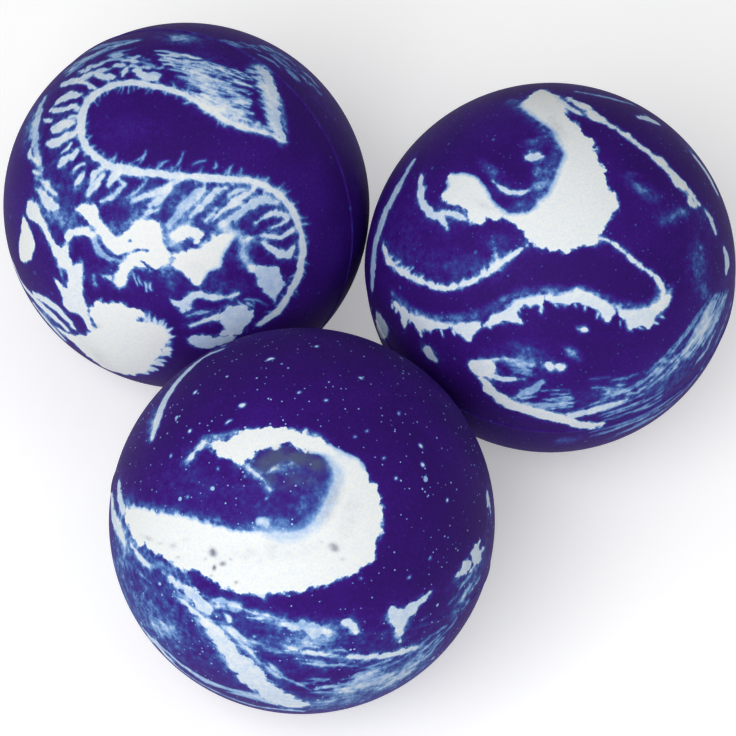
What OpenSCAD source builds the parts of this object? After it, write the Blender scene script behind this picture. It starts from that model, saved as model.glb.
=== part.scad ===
// Three marbled bouncy balls that rest in a close trio on a floor.
// Each ball is blue rubber with white rubber streaks pressed flush into its skin, and a fine
// mould line around it. The origin is on the floor, under the middle of the trio's box.

/* [Balls] */
// Diameter of every ball
ball_d = 32; // [24:0.5:60]
// Air between neighbouring balls
ball_gap = 0.25; // [0.1:0.05:3]
// Turn of the trio about the vertical
trio_turn = 78.8; // [70:0.1:110]

/* [White rubber] */
// How deep the white streaks reach into the blue rubber
streak_depth = 1.1; // [0.5:0.1:3]
// How far the streaks' edges are torn, as a share of their width
tear_share = 0.28; // [0:0.02:0.5]

/* [Mould line] */
// How far the line that the mould halves leave stands out of the skin
line_h = 0.08; // [0.04:0.01:0.2]
// Thickness of the round bead of rubber whose top is that line
line_d = 0.5; // [0.45:0.05:1.5]

/* [Hidden] */
$fn = 128;

// What all cuts run past the skin by
overrun = 0.5;
// Steps that a curve takes between two of its places
curve_steps = 3;

ball_r = ball_d / 2;
pitch = ball_d + ball_gap;
line_r = ball_r + line_h;
inner_r = ball_r - streak_depth;
rubber_blue = [0.07, 0.06, 0.42];
rubber_white = [0.9, 0.92, 0.96];

// The trio is an even triangle of touching balls, turned about the vertical and centred by its box.
left_from_front = pitch * [cos(trio_turn + 30), sin(trio_turn + 30), 0];
right_from_front = pitch * [cos(trio_turn - 30), sin(trio_turn - 30), 0];
front_at = [-(left_from_front.x + right_from_front.x) / 2, -left_from_front.y / 2, ball_r];
left_at = front_at + left_from_front;
right_at = front_at + right_from_front;

// The marbling is laid out on each ball as an eye sees it that looks down at the trio from the
// front. A place is [across share, up share] of the ball's outline as seen, from its middle.
eye_elevation = 61.5;
eye_off_share = 8.4;
eye_back = [0, -cos(eye_elevation), sin(eye_elevation)];
eye_up = [0, sin(eye_elevation), cos(eye_elevation)];
eye_at = [0, 0, ball_r] + eye_off_share * ball_d * eye_back;

// A face is a ball's middle with the axes across, up and towards the eye, or those seen from behind.
function unit(v) = v / norm(v);
function face_of(at) =
    let (towards = unit(eye_at - at), across = unit(cross(eye_up, towards)))
    [at, [across, cross(towards, across), towards], norm(eye_at - at) / ball_r];
function rear_of(face) = [face[0], [-face[1][0], face[1][1], -face[1][2]], face[2]];

front = face_of(front_at);
left = face_of(left_at);
right = face_of(right_at);

// The mould halves meet in a plane through the ball's middle, given by its normal in the face's axes.
front_mould = [0.2, 0.83, 0.52];
left_mould = [0.465, 0.325, -0.825];
right_mould = [0.07, 0.505, 0.86];

// A place as seen becomes a direction from the ball's middle, in the ball's own face axes.
function aim(place, far) =
    let (off = norm([place.x, place.y]), rim = sqrt(far * far - 1),
         turn = asin(off * far / norm([rim, off])) - atan2(off, rim))
    off == 0 ? [0, 0, 1] : [place.x * sin(turn) / off, place.y * sin(turn) / off, cos(turn)];

// A smooth curve runs through its places: open ones keep their ends, closed ones come round.
function bend(a, b, c, d, t) =
    (2 * b + (c - a) * t + (2 * a - 5 * b + 4 * c - d) * t * t + (3 * b - a - 3 * c + d) * t * t * t) / 2;
function open_curve(rows) =
    let (last = len(rows) - 1)
    [for (i = [0:last - 1], s = [0:curve_steps - 1])
        bend(rows[max(i - 1, 0)], rows[i], rows[i + 1], rows[min(i + 2, last)], s / curve_steps),
     rows[last]];
function closed_curve(rows) =
    let (n = len(rows))
    [for (i = [0:n - 1], s = [0:curve_steps - 1])
        bend(rows[(i + n - 1) % n], rows[i], rows[(i + 1) % n], rows[(i + 2) % n], s / curve_steps)];

function sum(list, i = 0) = i == len(list) - 1 ? list[i] : list[i] + sum(list, i + 1);

// One side of a band: its middle line moved across by its torn half width.
function band_side(middle, half, hand, torn) =
    let (last = len(middle) - 1)
    [for (i = [0:last])
        let (along = middle[min(i + 1, last)] - middle[max(i - 1, 0)],
             across = unit(cross(middle[i], along)))
        unit(middle[i] + hand * across * half[i] * (1 + tear_share * torn[i]))];

// The rim of a band goes out along one side and back along the other.
function band_rim(middle, half, seed) =
    let (n = len(middle), torn = rands(-1, 1, 2 * n, seed),
         there = band_side(middle, half, 1, torn),
         back = band_side(middle, half, -1, [for (i = [n:2 * n - 1]) torn[i]]))
    [each there, for (i = [n - 1:-1:0]) back[i]];

// The rim of a patch is its outline, each place pushed in or out a little.
function patch_rim(rows, far, seed) =
    let (line = closed_curve(rows), middle = sum(line) / len(line),
         torn = rands(-1, 1, len(line), seed))
    [for (i = [0:len(line) - 1])
        aim(line[i] + unit(line[i] - middle) * patch_tear_share * tear_share * torn[i], far)];
patch_tear_share = 0.03;

// A rim is cut straight through the skin along its own middle direction.
foot_share = 0.3;
module cutter(face, rim) {
    up = unit(sum(rim));
    e1 = unit(cross([0, 1, 0], up));
    e2 = cross(up, e1);
    a = e1 * face[1];
    b = e2 * face[1];
    c = up * face[1];
    o = face[0];
    multmatrix([[a.x, b.x, c.x, o.x], [a.y, b.y, c.y, o.y], [a.z, b.z, c.z, o.z], [0, 0, 0, 1]])
        translate([0, 0, foot_share * ball_r])
            linear_extrude(height = ball_r)
                polygon([for (q = rim) ball_r * [q * e1, q * e2]]);
}
module band(face, rows, seed) {
    line = open_curve(rows);
    cutter(face, band_rim([for (q = line) aim(q, face[2])], [for (q = line) q[2]], seed));
}
module patch(face, rows, seed) { cutter(face, patch_rim(rows, face[2], seed)); }

// The ball as it leaves the mould: a sphere with a round bead sunk in it where the halves met.
module moulded_ball(face, normal) {
    n = normal * face[1];
    translate(face[0]) {
        sphere(r = ball_r);
        rotate([0, acos(n.z / norm(n)), atan2(n.y, n.x)])
            rotate_extrude() translate([line_r - line_d / 2, 0]) circle(d = line_d);
    }
}

// White rubber fills the skin under its cutters; the blue rubber is what they leave.
module streak(face, normal) {
    color(rubber_white) intersection() {
        union() children();
        difference() {
            union() moulded_ball(face, normal);
            translate(face[0]) sphere(r = inner_r);
        }
    }
}
module blue_rubber(face, normal) {
    color(rubber_blue) difference() {
        union() moulded_ball(face, normal);
        intersection() {
            union() children();
            difference() {
                translate(face[0]) sphere(r = line_r + overrun);
                translate(face[0]) sphere(r = inner_r);
            }
        }
    }
}

// Front ball. A band's row is [across, up, half width]; a patch's is [across, up].
hook_shares = [
    [-0.53, 0.405, 0.012], [-0.45, 0.39, 0.03], [-0.37, 0.375, 0.055], [-0.28, 0.395, 0.07],
    [-0.18, 0.43, 0.05], [-0.06, 0.432, 0.038], [0.06, 0.39, 0.042], [0.17, 0.335, 0.055],
    [0.235, 0.25, 0.09], [0.25, 0.11, 0.15], [0.21, -0.05, 0.18], [0.1, -0.17, 0.18],
    [-0.05, -0.22, 0.16], [-0.2, -0.23, 0.157], [-0.35, -0.21, 0.165], [-0.5, -0.16, 0.15],
    [-0.7, -0.08, 0.11], [-0.83, -0.005, 0.065], [-0.91, 0.05, 0.02]];
shoulder_shares = [
    [-0.42, 0.885, 0.008], [-0.52, 0.84, 0.014], [-0.62, 0.75, 0.018], [-0.69, 0.66, 0.02],
    [-0.73, 0.58, 0.022], [-0.76, 0.5, 0.022], [-0.775, 0.43, 0.01]];
waist_shares = [
    [-0.85, -0.235, 0.008], [-0.81, -0.265, 0.018], [-0.75, -0.295, 0.024], [-0.68, -0.335, 0.028],
    [-0.6, -0.36, 0.028], [-0.52, -0.42, 0.022], [-0.44, -0.45, 0.012], [-0.35, -0.445, 0.009],
    [-0.24, -0.48, 0.01], [-0.12, -0.52, 0.007]];
diagonal_shares = [
    [-0.66, -0.445, 0.008], [-0.57, -0.49, 0.024], [-0.49, -0.565, 0.034], [-0.41, -0.65, 0.045],
    [-0.33, -0.74, 0.055], [-0.22, -0.82, 0.07], [-0.12, -0.885, 0.075], [0, -0.92, 0.05]];
thread_shares = [
    [-0.08, -0.64, 0.008], [0.02, -0.675, 0.014], [0.13, -0.7, 0.012], [0.27, -0.71, 0.014],
    [0.4, -0.705, 0.012], [0.51, -0.68, 0.014], [0.61, -0.65, 0.007]];
star_shares = [
    [0.44, -0.49], [0.46, -0.445], [0.5, -0.46], [0.56, -0.43], [0.67, -0.37], [0.6, -0.455],
    [0.56, -0.51], [0.53, -0.55], [0.505, -0.63], [0.48, -0.57], [0.46, -0.53]];
side_shares = [
    [0.8, -0.29, 0.01], [0.85, -0.245, 0.022], [0.9, -0.19, 0.026], [0.94, -0.13, 0.02],
    [0.965, -0.03, 0.018], [0.97, 0.06, 0.022], [0.96, 0.14, 0.01]];
front_rear_shares = [
    [-0.5, 0.42, 0.02], [-0.3, 0.52, 0.05], [-0.05, 0.5, 0.08], [0.18, 0.34, 0.1],
    [0.26, 0.08, 0.12], [0.16, -0.2, 0.1], [-0.08, -0.36, 0.08], [-0.34, -0.36, 0.05],
    [-0.55, -0.24, 0.02]];

module front_hook_form() { band(front, hook_shares, 11); }
module front_shoulder_form() { band(front, shoulder_shares, 12); }
module front_waist_form() { band(front, waist_shares, 13); }
module front_diagonal_form() { band(front, diagonal_shares, 14); }
module front_thread_form() { band(front, thread_shares, 15); }
module front_star_form() { patch(front, star_shares, 16); }
module front_side_form() { band(front, side_shares, 17); }
module front_rear_form() { band(rear_of(front), front_rear_shares, 18); }

module front_hook_streak() { streak(front, front_mould) front_hook_form(); }
module front_shoulder_streak() { streak(front, front_mould) front_shoulder_form(); }
module front_waist_streak() { streak(front, front_mould) front_waist_form(); }
module front_diagonal_streak() { streak(front, front_mould) front_diagonal_form(); }
module front_thread_streak() { streak(front, front_mould) front_thread_form(); }
module front_star_streak() { streak(front, front_mould) front_star_form(); }
module front_side_streak() { streak(front, front_mould) front_side_form(); }
module front_rear_streak() { streak(front, front_mould) front_rear_form(); }
module front_blue_rubber() {
    blue_rubber(front, front_mould) {
        front_hook_form();
        front_shoulder_form();
        front_waist_form();
        front_diagonal_form();
        front_thread_form();
        front_star_form();
        front_side_form();
        front_rear_form();
    }
}

// Left ball: a winding streak with teeth around its loop, over a dense marbled foot.
winding_loop_shares = [
    [0.46, 0.4, 0.01], [0.33, 0.435, 0.018], [0.15, 0.5, 0.02], [0, 0.6, 0.022],
    [-0.2, 0.66, 0.024], [-0.42, 0.645, 0.024], [-0.555, 0.55, 0.026], [-0.585, 0.43, 0.026],
    [-0.5, 0.27, 0.024], [-0.33, 0.205, 0.022], [-0.12, 0.175, 0.022], [0.04, 0.163, 0.02]];
winding_bend_shares = [
    [0, 0.165, 0.02], [0.22, 0.155, 0.02], [0.38, 0.145, 0.022], [0.52, 0.06, 0.024],
    [0.6, -0.06, 0.025], [0.635, -0.22, 0.026], [0.62, -0.35, 0.025], [0.57, -0.46, 0.024],
    [0.48, -0.58, 0.02], [0.38, -0.65, 0.01]];
wedge_shares = [
    [0.36, 0.765, 0.01], [0.44, 0.69, 0.018], [0.48, 0.6, 0.022], [0.505, 0.51, 0.02],
    [0.525, 0.44, 0.01]];
heart_shares = [
    [-0.3, -0.14], [-0.25, -0.07], [-0.17, -0.07], [-0.12, -0.14], [-0.05, -0.13], [0, -0.08],
    [0.07, -0.1], [0.1, -0.17], [0.13, -0.21], [0.25, -0.17], [0.22, -0.24], [0.17, -0.29],
    [0.12, -0.37], [0.05, -0.43], [-0.02, -0.38], [-0.07, -0.28], [-0.12, -0.3], [-0.17, -0.25],
    [-0.24, -0.27], [-0.31, -0.34], [-0.36, -0.41], [-0.35, -0.32], [-0.29, -0.22]];
bar_shares = [[-0.58, -0.01, 0.02], [-0.5, -0.08, 0.038], [-0.43, -0.16, 0.036], [-0.37, -0.21, 0.016]];
branch_shares = [
    [-0.85, 0.01, 0.01], [-0.83, -0.08, 0.02], [-0.77, -0.15, 0.02], [-0.72, -0.25, 0.022],
    [-0.67, -0.34, 0.04], [-0.64, -0.44, 0.048], [-0.61, -0.53, 0.04], [-0.59, -0.6, 0.02]];
foot_shares = [
    [-0.5, -0.54], [-0.38, -0.53], [-0.25, -0.57], [-0.24, -0.62], [-0.15, -0.65], [-0.1, -0.72],
    [-0.14, -0.8], [-0.19, -0.88], [-0.3, -0.925], [-0.42, -0.9], [-0.53, -0.83], [-0.63, -0.74],
    [-0.71, -0.66], [-0.64, -0.68], [-0.56, -0.66], [-0.52, -0.6]];
low_rows_shares = [
    [[0, -0.5, 0.014], [0.1, -0.48, 0.026], [0.26, -0.49, 0.012]],
    [[0.18, -0.61, 0.014], [0.27, -0.58, 0.028], [0.36, -0.55, 0.012]],
    [[0.04, -0.74, 0.014], [0.12, -0.73, 0.026], [0.21, -0.72, 0.012]],
    [[0.32, -0.33, 0.012], [0.42, -0.37, 0.03], [0.49, -0.41, 0.036], [0.47, -0.48, 0.014]]];
side_rows_shares = [
    [[-0.8, 0.56, 0.01], [-0.83, 0.43, 0.024], [-0.82, 0.3, 0.024], [-0.78, 0.19, 0.012]],
    [[-0.88, -0.07, 0.014], [-0.885, -0.18, 0.034], [-0.865, -0.29, 0.014]],
    [[-0.82, -0.48, 0.012], [-0.73, -0.58, 0.018], [-0.65, -0.645, 0.01]]];
left_rear_shares = [
    [0.48, 0.5, 0.015], [0.2, 0.58, 0.03], [-0.1, 0.46, 0.035], [-0.26, 0.22, 0.035],
    [-0.12, 0, 0.035], [0.15, -0.14, 0.035], [0.3, -0.36, 0.035], [0.16, -0.58, 0.03],
    [-0.12, -0.66, 0.015]];
// Fine streaks side by side, where the rubber was drawn out: [from, to, half width] of each.
grain_count = 7;
grain_first_shares = [[-0.2, 0.83], [0.12, 0.81]];
grain_last_shares = [[0.14, 0.585], [0.4, 0.5]];
comb_count = 11;
comb_middle_share = [-0.28, 0.43];
comb_inner_share = 0.37;
comb_outer_share = 0.47;
comb_from = 97;
comb_to = 213;
fan_rows_shares = [
    [[-0.01, -0.03], [0.08, 0.07]], [[0.1, -0.03], [0.19, 0.08]], [[0.18, 0], [0.34, 0.1]],
    [[0.4, -0.08], [0.53, -0.05]], [[0.35, -0.17], [0.56, -0.14]], [[0.42, -0.23], [0.56, -0.27]]];
fine_half_share = 0.014;

// A short fine streak between two places, widest at its middle.
function stroke(a, b) = [
    [a.x, a.y, fine_half_share / 2], [(a.x + b.x) / 2, (a.y + b.y) / 2, fine_half_share],
    [b.x, b.y, fine_half_share / 2]];
function between(a, b, t) = a + (b - a) * t;
function around(middle, r, angle) = middle + r * [cos(angle), sin(angle)];

module left_winding_form() {
    band(left, winding_loop_shares, 21);
    band(left, winding_bend_shares, 22);
}
module left_wedge_form() { band(left, wedge_shares, 23); }
module left_grain_form() {
    for (i = [0:grain_count - 1]) {
        t = i / (grain_count - 1);
        band(left, stroke(between(grain_first_shares[0], grain_last_shares[0], t),
            between(grain_first_shares[1], grain_last_shares[1], t)), 30 + i);
    }
}
module left_comb_form() {
    for (i = [0:comb_count - 1]) {
        angle = comb_from + (comb_to - comb_from) * i / (comb_count - 1);
        band(left, stroke(around(comb_middle_share, comb_inner_share, angle),
            around(comb_middle_share, comb_outer_share, angle)), 40 + i);
    }
}
module left_fan_form() {
    for (i = [0:len(fan_rows_shares) - 1])
        band(left, stroke(fan_rows_shares[i][0], fan_rows_shares[i][1]), 60 + i);
}
module left_heart_form() { patch(left, heart_shares, 24); }
module left_branch_form() {
    band(left, bar_shares, 25);
    band(left, branch_shares, 26);
}
module left_foot_form() { patch(left, foot_shares, 27); }
module left_low_form() {
    for (i = [0:len(low_rows_shares) - 1]) band(left, low_rows_shares[i], 70 + i);
}
module left_side_form() {
    for (i = [0:len(side_rows_shares) - 1]) band(left, side_rows_shares[i], 80 + i);
}
module left_rear_form() { band(rear_of(left), left_rear_shares, 28); }

module left_winding_streak() { streak(left, left_mould) left_winding_form(); }
module left_wedge_streak() { streak(left, left_mould) left_wedge_form(); }
module left_grain_streaks() { streak(left, left_mould) left_grain_form(); }
module left_comb_streaks() { streak(left, left_mould) left_comb_form(); }
module left_fan_streaks() { streak(left, left_mould) left_fan_form(); }
module left_heart_streak() { streak(left, left_mould) left_heart_form(); }
module left_branch_streak() { streak(left, left_mould) left_branch_form(); }
module left_foot_streak() { streak(left, left_mould) left_foot_form(); }
module left_low_streaks() { streak(left, left_mould) left_low_form(); }
module left_side_streaks() { streak(left, left_mould) left_side_form(); }
module left_rear_streak() { streak(left, left_mould) left_rear_form(); }
module left_blue_rubber() {
    blue_rubber(left, left_mould) {
        left_winding_form();
        left_wedge_form();
        left_grain_form();
        left_comb_form();
        left_fan_form();
        left_heart_form();
        left_branch_form();
        left_foot_form();
        left_low_form();
        left_side_form();
        left_rear_form();
    }
}

// Right ball: a boot-shaped patch, a crown streak over it, a wave under it and a fine-lined rim.
boot_shares = [
    [-0.12, 0.92], [-0.04, 0.96], [0.03, 0.92], [0.09, 0.83], [0.17, 0.75], [0.23, 0.68],
    [0.26, 0.58], [0.31, 0.46], [0.37, 0.34], [0.33, 0.25], [0.27, 0.17], [0.2, 0.12],
    [0.08, 0.095], [-0.05, 0.1], [-0.12, 0.17], [-0.2, 0.24], [-0.32, 0.26], [-0.43, 0.25],
    [-0.5, 0.33], [-0.585, 0.38], [-0.55, 0.48], [-0.44, 0.5], [-0.35, 0.42], [-0.28, 0.33],
    [-0.17, 0.29], [-0.07, 0.34], [0, 0.42], [0.055, 0.54], [0.07, 0.63], [0.02, 0.73],
    [-0.06, 0.81]];
crescent_shares = [[-0.31, 0.47, 0.008], [-0.25, 0.425, 0.018], [-0.18, 0.405, 0.018], [-0.11, 0.42, 0.008]];
right_hook_shares = [
    [-0.7, 0.5, 0.01], [-0.705, 0.42, 0.024], [-0.685, 0.34, 0.028], [-0.63, 0.28, 0.024],
    [-0.56, 0.23, 0.01]];
loop_shares = [
    [-0.905, 0.12, 0.01], [-0.87, 0.04, 0.02], [-0.8, -0.02, 0.02], [-0.7, -0.07, 0.02],
    [-0.56, -0.11, 0.024], [-0.41, -0.065, 0.022], [-0.28, 0.015, 0.02], [-0.2, 0.07, 0.01]];
string_shares = [
    [0.38, 0.105, 0.008], [0.43, 0.055, 0.018], [0.5, 0, 0.018], [0.57, -0.05, 0.02],
    [0.61, -0.12, 0.028], [0.61, -0.21, 0.03]];
wave_shares = [
    [-0.87, -0.18, 0.01], [-0.79, -0.25, 0.02], [-0.68, -0.3, 0.028], [-0.54, -0.315, 0.03],
    [-0.4, -0.31, 0.036], [-0.3, -0.27, 0.038], [-0.18, -0.205, 0.035], [-0.04, -0.17, 0.035],
    [0.12, -0.17, 0.035], [0.22, -0.2, 0.033], [0.32, -0.26, 0.03], [0.44, -0.285, 0.035],
    [0.54, -0.28, 0.04], [0.61, -0.23, 0.036], [0.65, -0.15, 0.014]];
crown_shares = [
    [0.13, 0.9, 0.01], [0.22, 0.845, 0.02], [0.34, 0.76, 0.02], [0.52, 0.63, 0.02],
    [0.68, 0.49, 0.02], [0.79, 0.35, 0.02], [0.86, 0.25, 0.016], [0.89, 0.18, 0.008]];
right_low_shares = [
    [-0.42, -0.51, 0.014], [-0.36, -0.56, 0.034], [-0.32, -0.63, 0.038], [-0.24, -0.705, 0.038],
    [-0.14, -0.76, 0.034], [-0.04, -0.79, 0.028], [0.06, -0.81, 0.018], [0.14, -0.82, 0.01]];
right_side_shares = [
    [-0.74, 0.58, 0.01], [-0.83, 0.42, 0.02], [-0.9, 0.28, 0.02], [-0.945, 0.13, 0.02],
    [-0.96, 0, 0.02], [-0.965, -0.1, 0.01]];
right_rear_shares = [
    [-0.55, -0.3, 0.015], [-0.36, -0.42, 0.04], [-0.12, -0.36, 0.06], [0.05, -0.15, 0.07],
    [0.08, 0.12, 0.09], [0.22, 0.36, 0.08], [0.45, 0.42, 0.04], [0.6, 0.3, 0.015]];
// Fine lines drawn out beside the mould line, each level with it: how far off, from and to where.
rim_count = 4;
rim_first_share = 0.06;
rim_last_share = 0.21;
rim_from = 24;
rim_to = 68;
rim_places = 16;
rim_half_share = 0.012;

// A place beside the mould line, by how far off it is and its angle from the line's nearest point.
function beside(normal, off_share, angle) =
    let (n = unit(normal), near = unit([0, 0, 1] - n.z * n), right_of = cross(n, near))
    sqrt(1 - off_share * off_share) * (cos(angle) * near + sin(angle) * right_of) + off_share * n;

module right_boot_form() { patch(right, boot_shares, 91); }
module right_crescent_form() { band(right, crescent_shares, 92); }
module right_hook_form() { band(right, right_hook_shares, 93); }
module right_loop_form() { band(right, loop_shares, 94); }
module right_wave_form() {
    band(right, wave_shares, 95);
    band(right, string_shares, 96);
}
module right_crown_form() { band(right, crown_shares, 97); }
module right_low_form() { band(right, right_low_shares, 98); }
module right_rim_form() {
    for (i = [0:rim_count - 1]) {
        off_share = rim_first_share + (rim_last_share - rim_first_share) * i / (rim_count - 1);
        steps = [for (j = [0:rim_places - 1]) j / (rim_places - 1)];
        cutter(right, band_rim(
            [for (t = steps) beside(right_mould, off_share, rim_from + (rim_to - rim_from) * t)],
            [for (t = steps) rim_half_share * (0.4 + sin(180 * t))], 100 + i));
    }
}
module right_side_form() { band(right, right_side_shares, 99); }
module right_rear_form() { band(rear_of(right), right_rear_shares, 110); }

module right_boot_streak() { streak(right, right_mould) right_boot_form(); }
module right_crescent_streak() { streak(right, right_mould) right_crescent_form(); }
module right_hook_streak() { streak(right, right_mould) right_hook_form(); }
module right_loop_streak() { streak(right, right_mould) right_loop_form(); }
module right_wave_streak() { streak(right, right_mould) right_wave_form(); }
module right_crown_streak() { streak(right, right_mould) right_crown_form(); }
module right_low_streak() { streak(right, right_mould) right_low_form(); }
module right_rim_streaks() { streak(right, right_mould) right_rim_form(); }
module right_side_streak() { streak(right, right_mould) right_side_form(); }
module right_rear_streak() { streak(right, right_mould) right_rear_form(); }
module right_blue_rubber() {
    blue_rubber(right, right_mould) {
        right_boot_form();
        right_crescent_form();
        right_hook_form();
        right_loop_form();
        right_wave_form();
        right_crown_form();
        right_low_form();
        right_rim_form();
        right_side_form();
        right_rear_form();
    }
}

front_blue_rubber();
front_hook_streak();
front_shoulder_streak();
front_waist_streak();
front_diagonal_streak();
front_thread_streak();
front_star_streak();
front_side_streak();
front_rear_streak();
left_blue_rubber();
left_winding_streak();
left_wedge_streak();
left_grain_streaks();
left_comb_streaks();
left_fan_streaks();
left_heart_streak();
left_branch_streak();
left_foot_streak();
left_low_streaks();
left_side_streaks();
left_rear_streak();
right_blue_rubber();
right_boot_streak();
right_crescent_streak();
right_hook_streak();
right_loop_streak();
right_wave_streak();
right_crown_streak();
right_low_streak();
right_rim_streaks();
right_side_streak();
right_rear_streak();
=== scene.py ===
"""Looks of three marbled bouncy balls that rest in a close trio.

Each ball is a dense blue skin with pockets, and white streaks inlaid in them that stand for the
model's own nodes. Where white rubber runs, how torn its edges are and how it smears into the blue
is laid out as marks on the ball's outline as seen, and reaches the one material of the
rubber as attributes of the mesh.
"""
from __future__ import annotations

import logging
import math
from dataclasses import dataclass, replace
from enum import Enum

import bpy
import numpy as np
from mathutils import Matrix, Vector


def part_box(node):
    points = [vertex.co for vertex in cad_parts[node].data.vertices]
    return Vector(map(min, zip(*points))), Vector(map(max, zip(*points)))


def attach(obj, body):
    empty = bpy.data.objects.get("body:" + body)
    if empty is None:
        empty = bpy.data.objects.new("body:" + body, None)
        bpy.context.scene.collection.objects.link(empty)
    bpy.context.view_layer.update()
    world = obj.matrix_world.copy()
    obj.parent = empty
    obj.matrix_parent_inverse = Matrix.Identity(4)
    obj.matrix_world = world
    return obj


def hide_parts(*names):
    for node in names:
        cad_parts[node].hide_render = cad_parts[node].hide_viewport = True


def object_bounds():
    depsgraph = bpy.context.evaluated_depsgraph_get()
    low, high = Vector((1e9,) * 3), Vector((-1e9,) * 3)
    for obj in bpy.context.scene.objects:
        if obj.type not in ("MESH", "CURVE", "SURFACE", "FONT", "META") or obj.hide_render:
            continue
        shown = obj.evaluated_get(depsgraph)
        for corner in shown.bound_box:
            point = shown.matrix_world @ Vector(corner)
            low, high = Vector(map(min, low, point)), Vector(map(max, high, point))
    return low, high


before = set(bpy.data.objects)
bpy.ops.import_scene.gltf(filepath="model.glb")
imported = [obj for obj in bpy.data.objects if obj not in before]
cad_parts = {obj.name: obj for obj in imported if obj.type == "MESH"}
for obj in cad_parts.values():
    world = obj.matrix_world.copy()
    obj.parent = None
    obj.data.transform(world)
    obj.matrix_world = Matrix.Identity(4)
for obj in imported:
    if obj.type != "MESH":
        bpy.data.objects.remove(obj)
cad_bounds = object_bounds()

log = logging.getLogger("bouncy_balls")
MM = 0.001

# The eye that the marbling is laid out for, which is the photograph's own.
EYE_ELEVATION = math.radians(61.5)
EYE_OFF_SHARE = 8.4
AIM_SHARES = (0.0015, -0.0273, 0.0)
LENS_MM = 154.3
SENSOR_MM = 36.0

TINY = 1e-12
SPLINE_STEPS = 5

Row = tuple[float, ...]
Rows = tuple[Row, ...]


def unit(vectors: np.ndarray) -> np.ndarray:
    """Vectors of length one along their last axis."""
    return vectors / np.linalg.norm(vectors, axis=-1, keepdims=True)


def smooth_step(low: float, high: float, values: np.ndarray) -> np.ndarray:
    """0 below low, 1 above high and a smooth rise between them."""
    t = np.clip((values - low) / (high - low), 0.0, 1.0)
    return t * t * (3.0 - 2.0 * t)


def curve(rows: np.ndarray, steps: int, closed: bool) -> np.ndarray:
    """Runs a smooth curve through rows.

    Args:
        rows: The places, one a row, with anything else that changes along the line.
        steps: How many points each stretch between two rows gets.
        closed: Whether the last row joins the first.

    Returns:
        The points of the curve, with as many columns as rows.
    """
    count = len(rows)
    index = np.arange(count if closed else count - 1)
    if closed:
        a, b, c, d = (rows[(index + k) % count] for k in (-1, 0, 1, 2))
    else:
        a, b, c, d = (rows[np.clip(index + k, 0, count - 1)] for k in (-1, 0, 1, 2))
    out = []
    for t in np.arange(steps) / steps:
        out.append((2 * b + (c - a) * t + (2 * a - 5 * b + 4 * c - d) * t**2
                    + (3 * b - a - 3 * c + d) * t**3) / 2)
    line = np.stack(out, axis=1).reshape(-1, rows.shape[1])
    return line if closed else np.vstack([line, rows[-1:]])


class Side(Enum):
    """Which way a ball is looked at: from the eye, from behind, or level from another side."""

    FRONT = (0.0, 0.0, 0.0)
    REAR = (0.0, 0.0, -1.0)
    BACK = (0.0, 1.0, -0.1)
    LEFT = (-1.0, 0.3, -0.25)
    RIGHT = (1.0, 0.3, -0.25)


@dataclass(frozen=True)
class Face:
    """How one ball shows itself to the eye.

    Places are shares of the ball's outline as seen, across and up from its middle.
    """

    centre: np.ndarray
    axes: np.ndarray
    far: float

    @classmethod
    def of(cls, centre: np.ndarray, radius: float, eye: np.ndarray, side: Side) -> Face:
        """Faces a ball towards the eye, or away from it.

        Args:
            centre: The ball's middle.
            radius: The ball's radius.
            eye: Where the eye is.
            side: The eye's side, the one behind it, or a side of the ball's own.

        Returns:
            The face, with its axes across, up and out.
        """
        out = unit(eye - centre)
        up = np.array([0.0, math.sin(EYE_ELEVATION), math.cos(EYE_ELEVATION)])
        if side in (Side.BACK, Side.LEFT, Side.RIGHT):
            out, up = unit(np.array(side.value)), np.array([0.0, 0.0, 1.0])
        across = unit(np.cross(up, out))
        turn = -1.0 if side is Side.REAR else 1.0
        axes = np.array([across * turn, np.cross(out, across), out * turn])
        return cls(centre, axes, float(np.linalg.norm(eye - centre)) / radius)

    def aim(self, places: np.ndarray) -> np.ndarray:
        """Directions from the ball's middle to places as seen."""
        off = np.linalg.norm(places, axis=1)
        rim = math.sqrt(self.far**2 - 1)
        bent = np.clip(off * self.far / np.sqrt(rim**2 + off**2), -1.0, 1.0)
        turn = np.arcsin(bent) - np.arctan2(off, rim)
        scale = np.sin(turn) / np.maximum(off, 1e-9)
        local = np.column_stack([places[:, 0] * scale, places[:, 1] * scale, np.cos(turn)])
        return local @ self.axes

    def seen(self, directions: np.ndarray) -> tuple[np.ndarray, np.ndarray]:
        """Places of directions as seen, and how much each faces the eye."""
        local = directions @ self.axes.T
        scale = math.sqrt(self.far**2 - 1) / (self.far - local[:, 2])
        return local[:, :2] * scale[:, None], local[:, 2]


@dataclass(frozen=True)
class Look:
    """How the rubber of a streak looks.

    Attributes:
        milk: How much white is in it, from 0 for blue to 1 for white.
        torn: How far its edges are torn, as a share of the radius.
        left: How far light blue smears out on its left hand, in the way its rows run.
        right: The same on its right hand.
        smear: How strong that smear is beside its edge.
    """

    milk: float = 1.0
    torn: float = 0.022
    left: float = 0.02
    right: float = 0.02
    smear: float = 0.35

    def finer(self, half: float, share: float) -> Look:
        """The look for a stroke that is only so wide, torn by at most a share of its half width."""
        return replace(self, torn=min(self.torn, half * share), left=min(self.left, half),
                       right=min(self.right, half))


# Looks that several marks share.
WHITE = Look()
VEIN = Look(0.86, 0.011, 0.018, 0.018, 0.3)
SOFT = Look(0.74, 0.011, 0.025, 0.025, 0.3)
PALE = Look(0.44, 0.01, 0.025, 0.025, 0.22)
MIST = Look(0.26, 0.009, 0.03, 0.03, 0.18)
FINE = Look(0.5, 0.006, 0.008, 0.008, 0.15)
DIM = Look(0.32, 0.006, 0.008, 0.008, 0.12)
STROKE = Look(0.75, 0.012, 0.012, 0.012, 0.3)


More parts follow.
